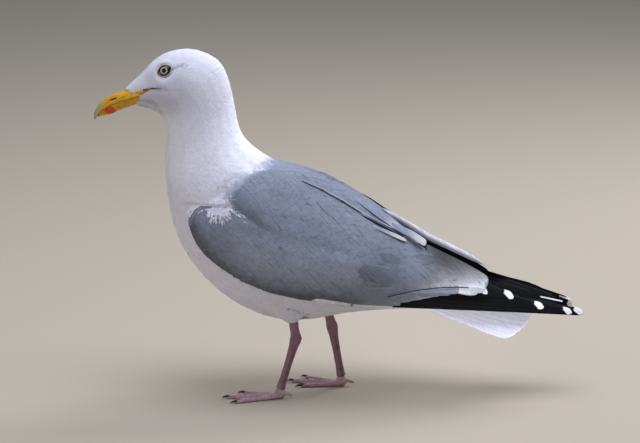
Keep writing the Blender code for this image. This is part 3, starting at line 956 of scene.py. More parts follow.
def chart_uv(points):
    """Where each point lies on the unwrap: the mean of its face's corners, nearer ones more."""
    faces = np.array([CHART_TREE.find_nearest(p)[2] for p in points.tolist()])
    weight = nearness(CHART_CORNERS[faces], points)
    return (CHART_UV[faces] * weight).sum(axis=1) / weight.sum(axis=1)


def root_patches(leaf, points):
    """A small patch of the unwrap for each feather, at the place of its root."""
    patch = np.stack([leaf.across / 2, leaf.along - 0.5], axis=1) * PATCH
    return chart_uv(points)[:, None] + patch[None]


# %% Join the leaves
BARB_TILT = math.radians(30)        # angle between a barb and the shaft
coat_triangles = 0


def barb_map(leaf, lengths, widths, rng):
    """Along a barb and across the barbs, in metres, with a random start for each feather."""
    out = np.abs(leaf.side)[None, :] * widths[:, None] / 2
    on = leaf.along[None, :] * lengths[:, None]
    along = out * math.sin(BARB_TILT) + on * math.cos(BARB_TILT)
    across = on * math.sin(BARB_TILT) - out * math.cos(BARB_TILT)
    return np.stack([along, across], axis=2) + rng.random((len(lengths), 1, 2))


def joined_mesh(name, places, faces):
    """One mesh of many closed copies. places: (copies, corners, 3); faces: quads of one copy."""
    count, corners = places.shape[:2]
    first_corners = (np.arange(count) * corners)[:, None, None]
    all_faces = (faces[None] + first_corners).reshape(-1, faces.shape[1])
    mesh = bpy.data.meshes.new(name)
    mesh.vertices.add(count * corners)
    mesh.vertices.foreach_set("co", places.astype(np.float32).ravel())
    mesh.loops.add(all_faces.size)
    mesh.loops.foreach_set("vertex_index", all_faces.ravel().astype(np.int32))
    mesh.polygons.add(len(all_faces))
    starts = np.arange(len(all_faces), dtype=np.int32) * faces.shape[1]
    mesh.polygons.foreach_set("loop_start", starts)
    mesh.update(calc_edges=True)
    mesh.shade_smooth()
    return mesh, all_faces


# %% Maps, colours and pieces
def write_map(mesh, name, values):
    """A UV map from a value for each corner of each copy: (copies, corners, 2)."""
    loops = np.empty(len(mesh.loops), np.int32)
    mesh.loops.foreach_get("vertex_index", loops)
    mesh.uv_layers.new(name=name)
    at_loops = values.reshape(-1, 2)[loops].astype(np.float32)
    mesh.uv_layers[name].data.foreach_set("uv", at_loops.ravel())


def paint(mesh, colours):
    """The `plumage` colour of every point of the mesh."""
    layer = mesh.color_attributes.new("plumage", "FLOAT_COLOR", "POINT")
    with_alpha = np.concatenate([colours, np.ones((len(colours), 1))], axis=1)
    layer.data.foreach_set("color", with_alpha.astype(np.float32).ravel())


def add_piece(name, mesh, material, slot, *solids):
    """Makes the mesh a piece of the bird, in place of the solids that are named."""
    mesh.materials.append(material)
    piece = new_object(name, mesh)
    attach(piece, "root")
    if solids:
        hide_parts(*solids)
    return piece


def feather_piece(name, leaf, places, skin_normals, colours, barbs, patches, material, slot,
                  softness):
    """colours: (feathers, corners, 3); softness: how far the shading follows the skin."""
    global coat_triangles
    mesh, faces = joined_mesh(name, places, leaf.faces)
    paint(mesh, colours.reshape(-1, 3))
    write_map(mesh, "barbs", barbs)
    write_map(mesh, "OFBake", patches)
    shading = normal_array(mesh).reshape(skin_normals.shape)
    above = leaf.lens >= 0
    blend = shading[:, above] * (1 - softness) + skin_normals[:, above] * softness
    shading[:, above] = unit(blend)
    mesh.normals_split_custom_set_from_vertices(shading.reshape(-1, 3).tolist())
    piece = add_piece(name, mesh, material, slot)
    triangles = 2 * len(faces)
    coat_triangles += triangles
    print(name + ":", places.shape[0], "feathers,", triangles, "triangles")
    return piece


# %% [markdown]
# ## Finish of the plumage
#
# Feathers are matt with a soft sheen, because light is scattered by thousands of barbs. The
# barbs show as fine streaks that run aslant from the shaft. A noise stretched along the `barbs`
# map gives them, as colour and as a slight relief. The colour itself comes from the feather.
# Every finish is built of the same few kinds of nodes, so each kind has a short function.

# %% Nodes
def add_node(tree, kind, inputs, **values):
    """A new node with its properties set first and then its inputs."""
    node = tree.nodes.new(kind)
    for key, value in values.items():
        setattr(node, key, value)
    feed(node, inputs)
    return node


def maths(tree, operation, *values):
    return add_node(tree, "ShaderNodeMath", dict(enumerate(values)), operation=operation).outputs[0]


def scaled(tree, colour, factor):
    inputs = {0: colour, "Scale": factor}
    return add_node(tree, "ShaderNodeVectorMath", inputs, operation="SCALE").outputs["Vector"]


def between(tree, value, low, high, start=0.0, end=1.0, kind="SMOOTHSTEP"):
    """start where the value is low, end where it is high."""
    inputs = {"Value": value, "From Min": low, "From Max": high, "To Min": start, "To Max": end}
    node = add_node(tree, "ShaderNodeMapRange", inputs, interpolation_type=kind)
    return node.outputs["Result"]


def mixed(tree, factor, below, above):
    """The colour above, laid over the one below by the factor."""
    inputs = {"Factor": factor, "A": below, "B": (*above, 1)}
    return add_node(tree, "ShaderNodeMix", inputs, data_type="RGBA").outputs["Result"]


def noise(tree, place, scale=1.0, detail=2.0):
    inputs = {"Vector": place, "Scale": scale, "Detail": detail}
    return add_node(tree, "ShaderNodeTexNoise", inputs).outputs["Fac"]


def object_place(tree):
    return add_node(tree, "ShaderNodeTexCoord", {}).outputs["Object"]


def uv_place(tree, name):
    return add_node(tree, "ShaderNodeUVMap", {}, uv_map=name).outputs["UV"]


def stretched(tree, place, stretch, **inputs):
    """The place after a Mapping node; stretch: its scale along each axis."""
    inputs = {"Vector": place, "Scale": stretch, **inputs}
    return add_node(tree, "ShaderNodeMapping", inputs).outputs["Vector"]


def turned_about_y(tree, place, **inputs):
    inputs = {"Vector": place, **inputs}
    return add_node(tree, "ShaderNodeVectorRotate", inputs, rotation_type="Y_AXIS").outputs["Vector"]


def emboss(tree, shader, height, strength, distance):
    inputs = {"Height": height, "Strength": strength, "Distance": distance}
    feed(shader, {"Normal": add_node(tree, "ShaderNodeBump", inputs).outputs["Normal"]})


# %% Plumage material
COMB_FALL = math.radians(-46)       # how steeply the combed lines of the wing run down and back
COMB_STRETCH = (45, 30, 1000)


def streak_noise(tree, scale_along, scale_across, detail):
    barbs = uv_place(tree, "barbs")
    return noise(tree, stretched(tree, barbs, (scale_along, scale_across, 1)), detail=detail)


def combed_noise(tree):
    """Long fine lines that run down and back over the whole wing, as if combed."""
    place = turned_about_y(tree, object_place(tree), Angle=COMB_FALL)
    return noise(tree, stretched(tree, place, COMB_STRETCH), detail=3.0)


def plumage_material(name, roughness, streak, relief, sheen=0.15, streaks=True, specular=0.25,
                     comb=0.0):
    """streak: strength of the barbs' streaks; comb: of the lines over the whole wing."""
    material, tree, shader = new_material(name, {
        "Roughness": roughness, "Specular IOR Level": specular, "Sheen Weight": sheen,
        "Sheen Roughness": 0.5})
    colour = add_node(tree, "ShaderNodeVertexColor", {}, layer_name="plumage").outputs["Color"]
    if not streaks:
        feed(shader, {"Base Color": colour})
        return material
    fine, broad = streak_noise(tree, 60, 1500, 2.0), streak_noise(tree, 30, 480, 1.0)
    both = maths(tree, "ADD", fine, broad)
    shade = between(tree, both, 0.6, 1.4, 1 - streak, 1 + streak, "LINEAR")
    if comb:
        lines = combed_noise(tree)
        lighter = between(tree, lines, 0.3, 0.7, 1 - comb, 1 + comb, "LINEAR")
        # Dark hairlines where the noise is lowest, as where the barbs of a vane part.
        parted = between(tree, lines, 0.27, 0.36, 0.45, 1.0)
        shade = maths(tree, "MULTIPLY", maths(tree, "MULTIPLY", shade, lighter), parted)
    feed(shader, {"Base Color": scaled(tree, colour, shade)})
    emboss(tree, shader, both, relief, 0.0002)
    return material


SOFT_PLUMAGE = plumage_material("soft_plumage", 0.85, 0.035, 0.1)
WING_PLUMAGE = plumage_material("wing_plumage", 0.7, 0.16, 0.3, comb=0.12)
SKIN_FINISH = plumage_material("skin_under_the_feathers", 0.9, 0.0, 0.0, streaks=False)

# %% [markdown]
# The skin itself takes the same markings, so nothing shows where two feathers part.

# %% The skin as a piece
def skin_piece():
    of_face = plumage(skin.centres, skin.region)
    channels = [face_to_point(skin.faces, of_face[:, k], len(skin.places)) for k in range(3)]
    paint(skin_mesh, np.stack(channels, axis=1))
    skin_mesh.shade_smooth()
    skin_mesh.materials.clear()
    add_piece("skin", skin_mesh, SKIN_FINISH, "white_plumage", *FLESH)


skin_piece()

# %% [markdown]
# ## The coat
#
# The coat is laid in stretches, each a piece of its own, from the face back to the thighs. The
# leaf is smallest on the face. Length, width and angle vary a little from feather to feather.

# %% Lay the coat
WIDTH_SHARE = 0.72                  # width of a feather as a share of its length
coat_rng = np.random.default_rng(5)


def turned(ways, normals, angles):
    """The directions turned about the normals."""
    return ways * np.cos(angles)[:, None] + np.cross(normals, ways) * np.sin(angles)[:, None]


def lay_coat(name, chosen, leaf, material, softness, tousle=5.0, slot="white_plumage"):
    faces, places = root_faces[chosen], roots[chosen]
    count = len(places)
    stations, regions = skin.station[faces], skin.region[faces]
    lengths = feather_length(places, stations, regions) * coat_rng.uniform(0.88, 1.12, count)
    widths = lengths * WIDTH_SHARE * coat_rng.uniform(0.9, 1.1, count)
    angles = np.radians(coat_rng.normal(0, tousle, count))
    ways = turned(skin.way[faces], skin.face_normals[faces], angles)
    depths = coat_depth(places, stations, regions) * coat_rng.uniform(0.97, 1.03, count)
    corners, normals = lay_leaves(leaf, places, ways, lengths, widths, depths)
    tint = coat_rng.normal(1.0, 0.02, (count, 1, 1))
    stray = coat_rng.normal(0, 0.0015, (count, 1, 3))
    seen_at = (corners + stray).reshape(-1, 3)
    colours = plumage(seen_at, np.repeat(regions, len(leaf.along))).reshape(count, -1, 3) * tint
    barbs = barb_map(leaf, lengths, widths, coat_rng)
    feather_piece(name, leaf, corners, normals, colours, barbs, root_patches(leaf, places),
                  material, slot, softness)


root_station, root_region = skin.station[root_faces], skin.region[root_faces]
# Each stretch of the body: name, first station, end, leaf.
STRETCHES = [
    ("coat_face", 0.0, 3.5, SMALL_LEAF), ("coat_head", 3.5, 6.5, SMALL_LEAF),
    ("coat_neck", 6.5, 9.5, BODY_LEAF), ("coat_body", 9.5, len(BODY), BODY_LEAF),
]
for name, first, end, leaf in STRETCHES:
    here = (root_region == ON_BODY) & (root_station >= first) & (root_station < end)
    lay_coat(name, here, leaf, SOFT_PLUMAGE, 0.9)
lay_coat("coat_thighs", root_region == ON_THIGH, BODY_LEAF, SOFT_PLUMAGE, 0.5, tousle=9.0)
for side, sign in SIDES.items():
    here = (root_region == ON_WING) & (roots[:, 1] * sign > 0)
    lay_coat("coat_wing_" + side, here, WING_LEAF, WING_PLUMAGE, 0.8, 4.0, "grey_plumage")
print("coat so far:", coat_triangles, "triangles")

# %% [markdown]
# ## The large feathers of the wing
#
# Towards the tail the wing is nothing but large feathers: the black primaries, with white tips,
# that make the point of the wing; the secondaries, of which only the edges show; the tertials,
# broad grey feathers with white ends that close the wing like a lid; and the long shoulder
# feathers. Each is set one by one. On the side of the wing they need no skin: a smooth surface
# is fitted to the solid's outer side, and each feather is drawn on it from root to tip.

# %% Smooth side surface
class SideSurface:
    """Distance from the middle plane as a smooth polynomial of x and z."""

    def __init__(self, points, degree):
        self.middle = points.mean(axis=0)
        self.powers = [(i, j) for i in range(degree + 1) for j in range(degree + 1 - i)]
        terms, out = self.terms(points[:, 0], points[:, 2]), np.abs(points[:, 1])
        self.factors = np.linalg.lstsq(terms, out, rcond=None)[0]
        miss = (np.abs(terms @ self.factors - out).mean() * 1000).round(2)
        print("side surface fitted to", len(points), "points, mean miss", miss, "mm")

    def terms(self, x, z):
        u, w = (x - self.middle[0]) * 20, (z - self.middle[2]) * 20
        return np.stack([u ** i * w ** j for i, j in self.powers], axis=-1)

    def __call__(self, x, z):
        return self.terms(x, z) @ self.factors


def outer_points(node, low_x):
    """Centres of the faces on the outer side of a left-hand solid."""
    bm = merged_copy(node)
    points = [tuple(f.calc_center_median()) for f in bm.faces
              if f.normal.y < -0.4 and f.calc_center_median().x > low_x]
    bm.free()
    return np.array(points)


outer_faces = (skin.region == 1) & (skin.centres[:, 1] < 0) & (skin.face_normals[:, 1] < -0.45)
WING_SIDE = SideSurface(skin.centres[outer_faces & (skin.centres[:, 0] > -0.01)], 3)
TIP_SIDE = SideSurface(outer_points("wing_tip_left", 0.0), 3)


def folded_side(x, z):
    """Under the tertials: a little inside the wing, and further back the side of the wing tip."""
    share = smooth_step(x, 0.120, 0.165)
    return (WING_SIDE(x, z) - 0.003) * (1 - share) + TIP_SIDE(x, z) * share


# %% Long leaf
def long_shape(tip_share, base_width):
    """Almost parallel edges, and a round tip that takes up the last share of the length."""
    def shape(row):
        turn = np.clip((row - 0.7) / 0.3, 0, 1) * math.pi / 2
        straight, rounded = row / 0.7 * (1 - tip_share), 1 - tip_share + tip_share * np.sin(turn)
        along = np.where(row < 0.7, straight, rounded)
        swell = base_width + (1 - base_width) * np.sin(np.clip(row / 0.7, 0, 1) * math.pi / 2)
        return along, swell * np.maximum(np.cos(turn) ** 0.65, 0.12)
    return shape


VANE_CROWN = 0.02                   # rise of a vane's middle as a share of its width
VANE_THICKNESS = 0.0004             # half the thickness in the middle of a large feather
PRIMARY_LEAF = Leaf(6, 24, long_shape(0.045, 0.8), tip_pull=0, to_the_rim=0.6)
TERTIAL_LEAF = Leaf(6, 20, long_shape(0.08, 0.6), tip_pull=0, to_the_rim=0.5)


# %% A feather on the side surface
def side_vane(leaf, sign, surface, root, tip, width, bulge, level, upper=1.0, taper=0.0,
              sink=0.004, slant=0.0):
    """Corners of one feather drawn on the side surface, root and tip given as (x, z).

    upper: width of the upper half against the lower; taper: how much the upper half narrows
    towards the tip; sink: how deep the root goes under its neighbours; slant: how much the tip
    is cut aslant, with its lower corner foremost."""
    root, tip = np.array(root), np.array(tip)
    span = tip - root
    up = np.array([-span[1], span[0]]) / np.linalg.norm(span)
    along = leaf.along[:, None]
    side = leaf.side * sign * width / 2
    narrowed = upper * (1 - taper * smooth_step(leaf.along, 0.72, 0.97))
    side = np.where(side > 0, side * narrowed, side)
    place = root + span * along + up * bulge * 4 * along * (1 - along) + up * side[:, None]
    cut_back = slant * side * smooth_step(leaf.along, 0.80, 1.0)
    place -= span / np.linalg.norm(span) * cut_back[:, None]
    rounding = VANE_CROWN * width * (1 - leaf.across ** 2)
    depth = sink * (1 - smooth_step(leaf.along, 0.0, 0.4))
    lens = leaf.lens * VANE_THICKNESS
    out = surface(place[:, 0], place[:, 1]) + level - depth + rounding + lens
    return np.stack([place[:, 0], sign * out, place[:, 1]], axis=1)


# %% [markdown]
# The finish of a large feather depends on the place on the feather: white at the tip, a fine
# shaft along the middle. A `vane` map says how far each corner is from the shaft and from the
# tip, in metres, and the material draws tip and shaft from those two distances.

# %% Material of the large feathers
SHAFT_FROM, SHAFT_TO = 0.0002, 0.0006   # the shaft's shade fades out between these distances


def large_feather_material(name, tip_colour, tip_from, tip_to, roughness, streak, shaft_shade,
                           wobble=0.004, specular=0.2, comb=0.0):
    """The tip's colour begins tip_from metres before the end and is full at tip_to."""
    material = plumage_material(name, roughness, streak, 0.35, sheen=0.0, specular=specular,
                                comb=comb)
    tree = material.node_tree
    shader = tree.nodes["Principled BSDF"]
    body_colour = shader.inputs["Base Color"].links[0].from_socket
    vane = add_node(tree, "ShaderNodeSeparateXYZ", {0: uv_place(tree, "vane")}).outputs
    from_shaft = maths(tree, "ABSOLUTE", vane["X"])
    wedge = maths(tree, "MULTIPLY_ADD", from_shaft, 0.5, vane["Y"])
    ragged = maths(tree, "MULTIPLY_ADD", streak_noise(tree, 150, 500, 1.0), wobble, wedge)
    tip = between(tree, ragged, tip_to + wobble / 2, tip_from + wobble / 2, 1.0, 0.0)
    with_tip = mixed(tree, tip, body_colour, tip_colour)
    shaft = between(tree, from_shaft, SHAFT_FROM, SHAFT_TO, shaft_shade, 1.0)
    feed(shader, {"Base Color": scaled(tree, with_tip, shaft)})
    return material


TIP_WHITE = (0.80, 0.80, 0.82)
BLACK = np.array([0.004, 0.004, 0.005])
PRIMARY_FINISH = large_feather_material(
    "primary_feather", TIP_WHITE, 0.0096, 0.0076, 0.6, 0.3, 1.0, specular=0.05)
DARK_FINISH = plumage_material(
    "inner_primary_feather", 0.65, 0.25, 0.3, sheen=0.0, specular=0.05)
TERTIAL_FINISH = large_feather_material(
    "tertial_feather", (0.38, 0.38, 0.40), 0.022, 0.004, 0.65, 0.16, 1.0, 0.014, comb=0.22)
SECONDARY_FINISH = large_feather_material(
    "secondary_feather", GREY * 1.1, 0.004, 0.002, 0.65, 0.25, 0.8)
SHOULDER_FINISH = large_feather_material(
    "shoulder_feather", (0.50, 0.50, 0.53), 0.0300, 0.0110, 0.7, 0.16, 1.0, comb=0.15)
UPPER_FINISH = large_feather_material(
    "upper_tertial_feather", GREY * 0.9, 0.004, 0.002, 0.65, 0.16, 1.0, comb=0.22)
TAIL_FINISH = large_feather_material(
    "tail_feather", TIP_WHITE, 0.004, 0.002, 0.7, 0.12, 0.86)


# %% Large feathers as pieces
def strip_map(leaf, count, index):
    """A strip of its own for each feather in the square, with a margin round it."""
    margin = 0.1 / count
    x = (index + 0.5 + leaf.side * 0.4) / count
    return np.stack([np.clip(x, margin, 1 - margin), 0.02 + 0.96 * leaf.along], axis=1)


def map_vane(piece, leaf, lengths, widths):
    """The `vane` map: how far each corner is from the shaft and from the tip."""
    from_shaft = leaf.side[None] * widths[:, None] / 2
    from_tip = (1 - leaf.along)[None] * lengths[:, None]
    write_map(piece.data, "vane", np.stack([from_shaft, from_tip], axis=2))


def large_feathers(name, leaf, feathers, colour, material, slot, seed, gradient=0.0, rim=1.0,
                   tone=None):
    """feathers: list of (corners, length, width). rim: factor on the colour of the edges against the
    middle; below 1 it paints shade into the gaps between the feathers, above 1 it makes a paler edge.

    tone: function of the corners' places and their colours that gives the final colours."""
    rng = np.random.default_rng(seed)
    count = len(feathers)
    places, lengths, widths = (np.array(values) for values in zip(*feathers))
    along = (1 + gradient * (leaf.along - 0.5))[None, :, None]
    shade = rng.normal(1.0, 0.03, (count, 1, 1)) * along
    colours = np.array(colour)[None, None] * shade * np.ones((count, len(leaf.along), 3))
    # A rim below 1 is painted shade in the gaps between the feathers.
    colours[:, np.abs(leaf.across) > 0.99] *= rim
    if tone is not None:
        colours = tone(places, colours)
    barbs = barb_map(leaf, lengths, widths, rng)
    patches = np.stack([strip_map(leaf, count, k) for k in range(count)])
    piece = feather_piece(name, leaf, places, np.zeros_like(places), colours, barbs, patches,
                          material, slot, 0.0)
    map_vane(piece, leaf, lengths, widths)
    return piece


# %% Primaries, secondaries and tertials
# Each row: root (x, z), tip (x, z), width, bulge. From the lowest and innermost to the topmost.
# The two wings are folded a little differently: the left one is seen full on, and of the right
# one only the upper edge shows behind it.
PRIMARIES = {
    "left": [
        ((0.056, 0.1092), (0.2590, 0.0955), 0.0096, 0), ((0.056, 0.1131), (0.2470, 0.0962), 0.0092, 0),
        ((0.056, 0.1175), (0.2165, 0.1025), 0.0100, 0), ((0.046, 0.1260), (0.1840, 0.1140), 0.0105, 0.001),
        ((0.050, 0.1360), (0.1560, 0.1200), 0.0110, 0.002)],
    "right": [
        ((0.050, 0.1480), (0.2505, 0.0945), 0.0130, 0.001), ((0.034, 0.1150), (0.2425, 0.0945), 0.0100, 0),
        ((0.040, 0.1190), (0.2165, 0.1000), 0.0105, 0), ((0.046, 0.1260), (0.1850, 0.1100), 0.0105, 0.001),
        ((0.050, 0.1360), (0.1560, 0.1200), 0.0110, 0.002)],
}
INNER_PRIMARIES = {
    "left": [((0.060, 0.1560), (0.2300, 0.1040), 0.0120, 0.001),
             ((0.060, 0.1480), (0.2050, 0.1090), 0.0120, 0.001)],
    "right": [((0.060, 0.1640), (0.2460, 0.0960), 0.0140, 0.001),
              ((0.060, 0.1560), (0.2050, 0.1090), 0.0150, 0.001)],
}
SECONDARIES = [((-0.010, 0.1230), (0.1050, 0.1198), 0.0070, 0.001),
               ((-0.010, 0.1245), (0.1180, 0.1214), 0.0080, 0.001),
               ((-0.010, 0.1285), (0.1265, 0.1240), 0.0105, 0.001)]
TERTIALS = [((-0.030, 0.1510), (0.1545, 0.1232), 0.0115, 0),
            ((-0.025, 0.1640), (0.1480, 0.1225), 0.0160, 0)]
# The first of them is the same on both sides.
TOP_TERTIAL = ((0.000, 0.1800), (0.1500, 0.1290), 0.0180, 0)
UPPER_TERTIALS = {
    "left": [TOP_TERTIAL, ((0.090, 0.1628), (0.1570, 0.1262), 0.0130, 0)],
    "right": [TOP_TERTIAL, ((0.035, 0.1792), (0.1560, 0.1262), 0.0145, 0)],
}
# The thin white rim of one more primary.
RIM = [((0.2140, 0.1106), (0.2380, 0.1052), 0.0014, 0)]
# Painted shadow: a dark line where the tertials lie over the secondaries.
DARK_LINE = [((0.050, 0.1198), (0.1370, 0.1252), 0.0010, 0.0045)]
# Feathers that show below the edge of the folded wing, with their colours.
WING_EDGES = {
    "pale_edge_": ([((-0.034, 0.1190), (0.0137, 0.1096), 0.0052, 0)], WHITE * 1.1),
    "grey_edge_": ([((-0.004, 0.1160), (0.0640, 0.1086), 0.0072, 0)], GREY * 1.05),
}


# %% Set the wing feathers
def wing_feathers(name, side, rows, leaf, surface, level, step, colour, finish, slot, seed,
                  shape=(), **looks):
    """One set on the side of the wing; each feather lies a step further out than the last."""
    vanes = []
    for k, (root, tip, width, bulge) in enumerate(rows):
        corners = side_vane(leaf, SIDES[side], surface, root, tip, width, bulge, level + k * step,
                            **dict(shape))
        vanes.append((corners, math.hypot(tip[0] - root[0], tip[1] - root[1]), width))
    return large_feathers(name, leaf, vanes, colour, finish, slot, seed, **looks)


for side in SIDES:
    wing_feathers("inner_primaries_" + side, side, INNER_PRIMARIES[side], PRIMARY_LEAF,
                  folded_side, -0.0050, 0.0006, BLACK * 0.7, DARK_FINISH, "black_plumage", 20,
                  {"sink": 0.0})
    primaries = wing_feathers("primaries_" + side, side, PRIMARIES[side], PRIMARY_LEAF, TIP_SIDE,
                              -0.0020, 0.0005, BLACK, PRIMARY_FINISH, "black_plumage", 21,
                              {"upper": 2.0, "taper": 0.7, "sink": 0.0, "slant": 0.8})
    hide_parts("wing_tip_" + side)
    wing_feathers("secondaries_" + side, side, SECONDARIES, PRIMARY_LEAF, WING_SIDE,
                  0.0002, 0.0006, GREY, SECONDARY_FINISH, "grey_plumage", 22, rim=0.25)
    for name, (rows, colour) in WING_EDGES.items():
        wing_feathers(name + side, side, rows, PRIMARY_LEAF, WING_SIDE, 0.0010, 0.0, colour,
                      UPPER_FINISH, "grey_plumage", 26, {"sink": 0.002}, rim=0.6)
    wing_feathers("tertials_" + side, side, TERTIALS, TERTIAL_LEAF, WING_SIDE, 0.0008, 0.0002,
                  GREY * 0.80, TERTIAL_FINISH, "grey_plumage", 23,
                  gradient=0.3, rim=0.85, tone=tertial_ends_with_painted_shade)
    wing_feathers("upper_tertials_" + side, side, UPPER_TERTIALS[side], TERTIAL_LEAF, WING_SIDE,
                  0.0012, 0.0002, GREY * 0.64, UPPER_FINISH, "grey_plumage", 27,
                  gradient=0.3, rim=0.95, tone=tertial_ends_with_painted_shade)

# %% [markdown]
# The innermost tertials of the right wing don't lie on its side: they roll over the back and
# show their white edges to the sky. Between them and the left wing lies a dark hollow, filled
# by the black feathers of the wing tips.

# %% Feathers that roll over the back
def back_vane(leaf, near_line, far_line, near_y, far_y):
    """A feather between two lines of (x, z), each at its own distance from the middle plane."""
    edges = []
    for line, y in ((near_line, near_y), (far_line, far_y)):
        line = np.array(line)
        reached_at = np.arange(len(line)) / (len(line) - 1)
        x, z = (np.interp(leaf.along, reached_at, line[:, k]) for k in (0, 1))
        edges.append(np.stack([x, y + 0 * leaf.along, z], axis=1))
    share = (1 + leaf.side)[:, None] / 2
    arch = 0.0008 * (1 - leaf.across ** 2) + leaf.lens * VANE_THICKNESS
    return edges[0] * (1 - share) + edges[1] * share + np.array([0, 0, 1]) * arch[:, None]


PALE_LINES = ([(0.045, 0.1985), (0.070, 0.1840), (0.0925, 0.1697), (0.1184, 0.1576),
               (0.1400, 0.1477), (0.1616, 0.1388)],
              [(0.045, 0.2040), (0.070, 0.1905), (0.0968, 0.1735), (0.1184, 0.1625),
               (0.1400, 0.1515), (0.1616, 0.1358)])
DARK_LINES = ([(0.060, 0.1735), (0.0893, 0.1580), (0.1170, 0.1445), (0.1385, 0.1325),
               (0.1600, 0.1220)],
              [(0.060, 0.1860), (0.0925, 0.1690), (0.1184, 0.1570), (0.1400, 0.1470),
               (0.1620, 0.1330)])
END_LINES = ([(0.055, 0.1845), (0.075, 0.1755), (0.0905, 0.1660)],
             [(0.055, 0.1930), (0.078, 0.1815), (0.0930, 0.1705)])
FAR_TIP_LINES = ([(0.236, 0.1040), (0.2485, 0.0995)], [(0.236, 0.1052), (0.2485, 0.1010)])


def rolled_painted_shade(_, colours):
    """Painted shade where the feather goes down into the hollow; white along its upper edge."""
    return colours * (0.16 + 0.84 * smooth_step(TERTIAL_LEAF.side, -0.30, 0.25))[None, :, None]


def back_feather(name, lines, near_y, far_y, length, width, *looks, **more_looks):
    vane = back_vane(TERTIAL_LEAF, *lines, near_y, far_y)
    large_feathers(name, TERTIAL_LEAF, [(vane, length, width)], *looks, **more_looks)


back_feather("rolled_tertial", PALE_LINES, -0.006, 0.010, 0.130, 0.016, WHITE * 0.80,
             TERTIAL_FINISH, "white_plumage", 24, rim=1.2, tone=rolled_painted_shade)
for side in SIDES:
    # Painted shadow under the lower edge of the tertials.
    wing_feathers("painted_shadow_under_the_tertials_" + side, side, DARK_LINE, PRIMARY_LEAF, WING_SIDE,
                  0.0032, 0.0, GREY * 0.12, DARK_FINISH, "grey_plumage", 30, {"sink": 0.0})
wing_feathers("pale_rim_of_a_primary", "left", RIM, PRIMARY_LEAF, TIP_SIDE, 0.0022, 0.0, WHITE,
              TAIL_FINISH, "white_plumage", 28, {"sink": 0.0})
back_feather("far_white_tip", FAR_TIP_LINES, 0.010, 0.013, 0.012, 0.003, WHITE, TAIL_FINISH,
             "white_plumage", 29)
back_feather("pale_ended_feather", END_LINES, -0.024, -0.012, 0.042, 0.012, GREY * 1.1,
             SHOULDER_FINISH, "grey_plumage", 32, rim=1.3)
back_feather("feathers_in_the_hollow", DARK_LINES, -0.016, 0.006, 0.115, 0.030, BLACK,
             DARK_FINISH, "black_plumage", 25)

# %% [markdown]
# ## Tail
#
# Twelve white feathers make a fan that hangs to both sides like a low tent. The middle pair lies
# on top. A place in the fan is given by how far along the tail it is and how far out from the
# middle feather, and each feather keeps to its own line of the fan.

# %% Fan of the tail
TAIL_LOW, TAIL_HIGH = (np.array(corner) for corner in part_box("tail"))
TAIL_BASE = np.array([TAIL_LOW[0], 0.0, TAIL_HIGH[2]])
TAIL_TIP = np.array([TAIL_HIGH[0], 0.0, 0.0905])
TAIL_HALF_WIDTH = ([0.0, 0.25, 0.5, 0.75, 1.0], [0.0190, 0.0245, 0.0310, 0.0385, 0.0425])
TAIL_DROOP = math.radians(27)
TAIL_ROUNDING = 0.0270              # how far the outermost feathers end before the middle ones
TAIL_PAIRS = 6
TAIL_VANE = 0.20                    # half the width of one feather as a share of the half fan


def tail_place(along, out):
    half = np.interp(along, *TAIL_HALF_WIDTH)
    middle = TAIL_BASE + (TAIL_TIP - TAIL_BASE) * along[:, None]
    back = -TAIL_ROUNDING * along * out ** 2
    drop = half * np.abs(out) ** 1.05 * math.sin(TAIL_DROOP)
    return middle + np.stack([back, half * out * math.cos(TAIL_DROOP), -drop], axis=1)


def tail_feather(leaf, line):
    """line: the feather's own line in the fan, from -1 to 1."""
    out = line + leaf.side * TAIL_VANE
    along = -0.06 + 1.06 * leaf.along - 0.012 * leaf.across ** 2
    top = tail_place(np.clip(along, -0.06, 1.0), np.clip(out, -1.02, 1.02))
    crown = 0.0006 * (1 - leaf.across ** 2)
    level = -0.0010 - 0.0022 * abs(line) + crown + leaf.lens * 0.0003
    return top + np.array([0, 0, 1]) * level[:, None]


lines = sorted(np.linspace(-0.86, 0.86, 2 * TAIL_PAIRS), key=abs)
tail_feathers = [(tail_feather(TERTIAL_LEAF, line), 0.12, 0.017) for line in lines]


def tail_painted_shade(places, colours):
    """Painted shade: a little darker towards the outer edges, which hang lowest."""
    return colours * (0.76 + 0.24 * smooth_step(places[..., 2], 0.074, 0.090))[..., None]


# Painted light: the tail's white is a little brighter than the white of the body.
tail = large_feathers("tail_feathers", TERTIAL_LEAF, tail_feathers, WHITE * 1.12, TAIL_FINISH,
                      "white_plumage", 31, rim=0.7, tone=tail_painted_shade)
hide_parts("tail")

# %% [markdown]
# ## Shoulder feathers and the white tuft
#
# The longest shoulder feathers lie over the upper edge of the wing. Along their lower edges a
# line of near-black feathers paints their shadow, and the last ones have white ends. They are
# laid on the skin like the small feathers, but one by one. At the front, the white of the breast
# breaks up into loose plumes over the bend of the wing and over the front of the grey mantle.

# %% Laid one by one
SHOULDER_LEAF = Leaf(6, 12, long_shape(0.22, 0.6), tip_pull=0, to_the_rim=0.5)
PLUME_LEAF = Leaf(2, 5, tapering([0, 0.3, 0.7, 1.0], [0.8, 1.0, 0.6, 0.12]))


def on_side(x, z, sign):
    """The place on the skin that is seen at (x, z) from straight out on one side, or the nearest."""
    hit = skin.tree.ray_cast(Vector((x, sign * 0.2, z)), Vector((0, -sign, 0)))[0]
    return np.array(hit or skin.tree.find_nearest(Vector((x, sign * 0.02, z)))[0])


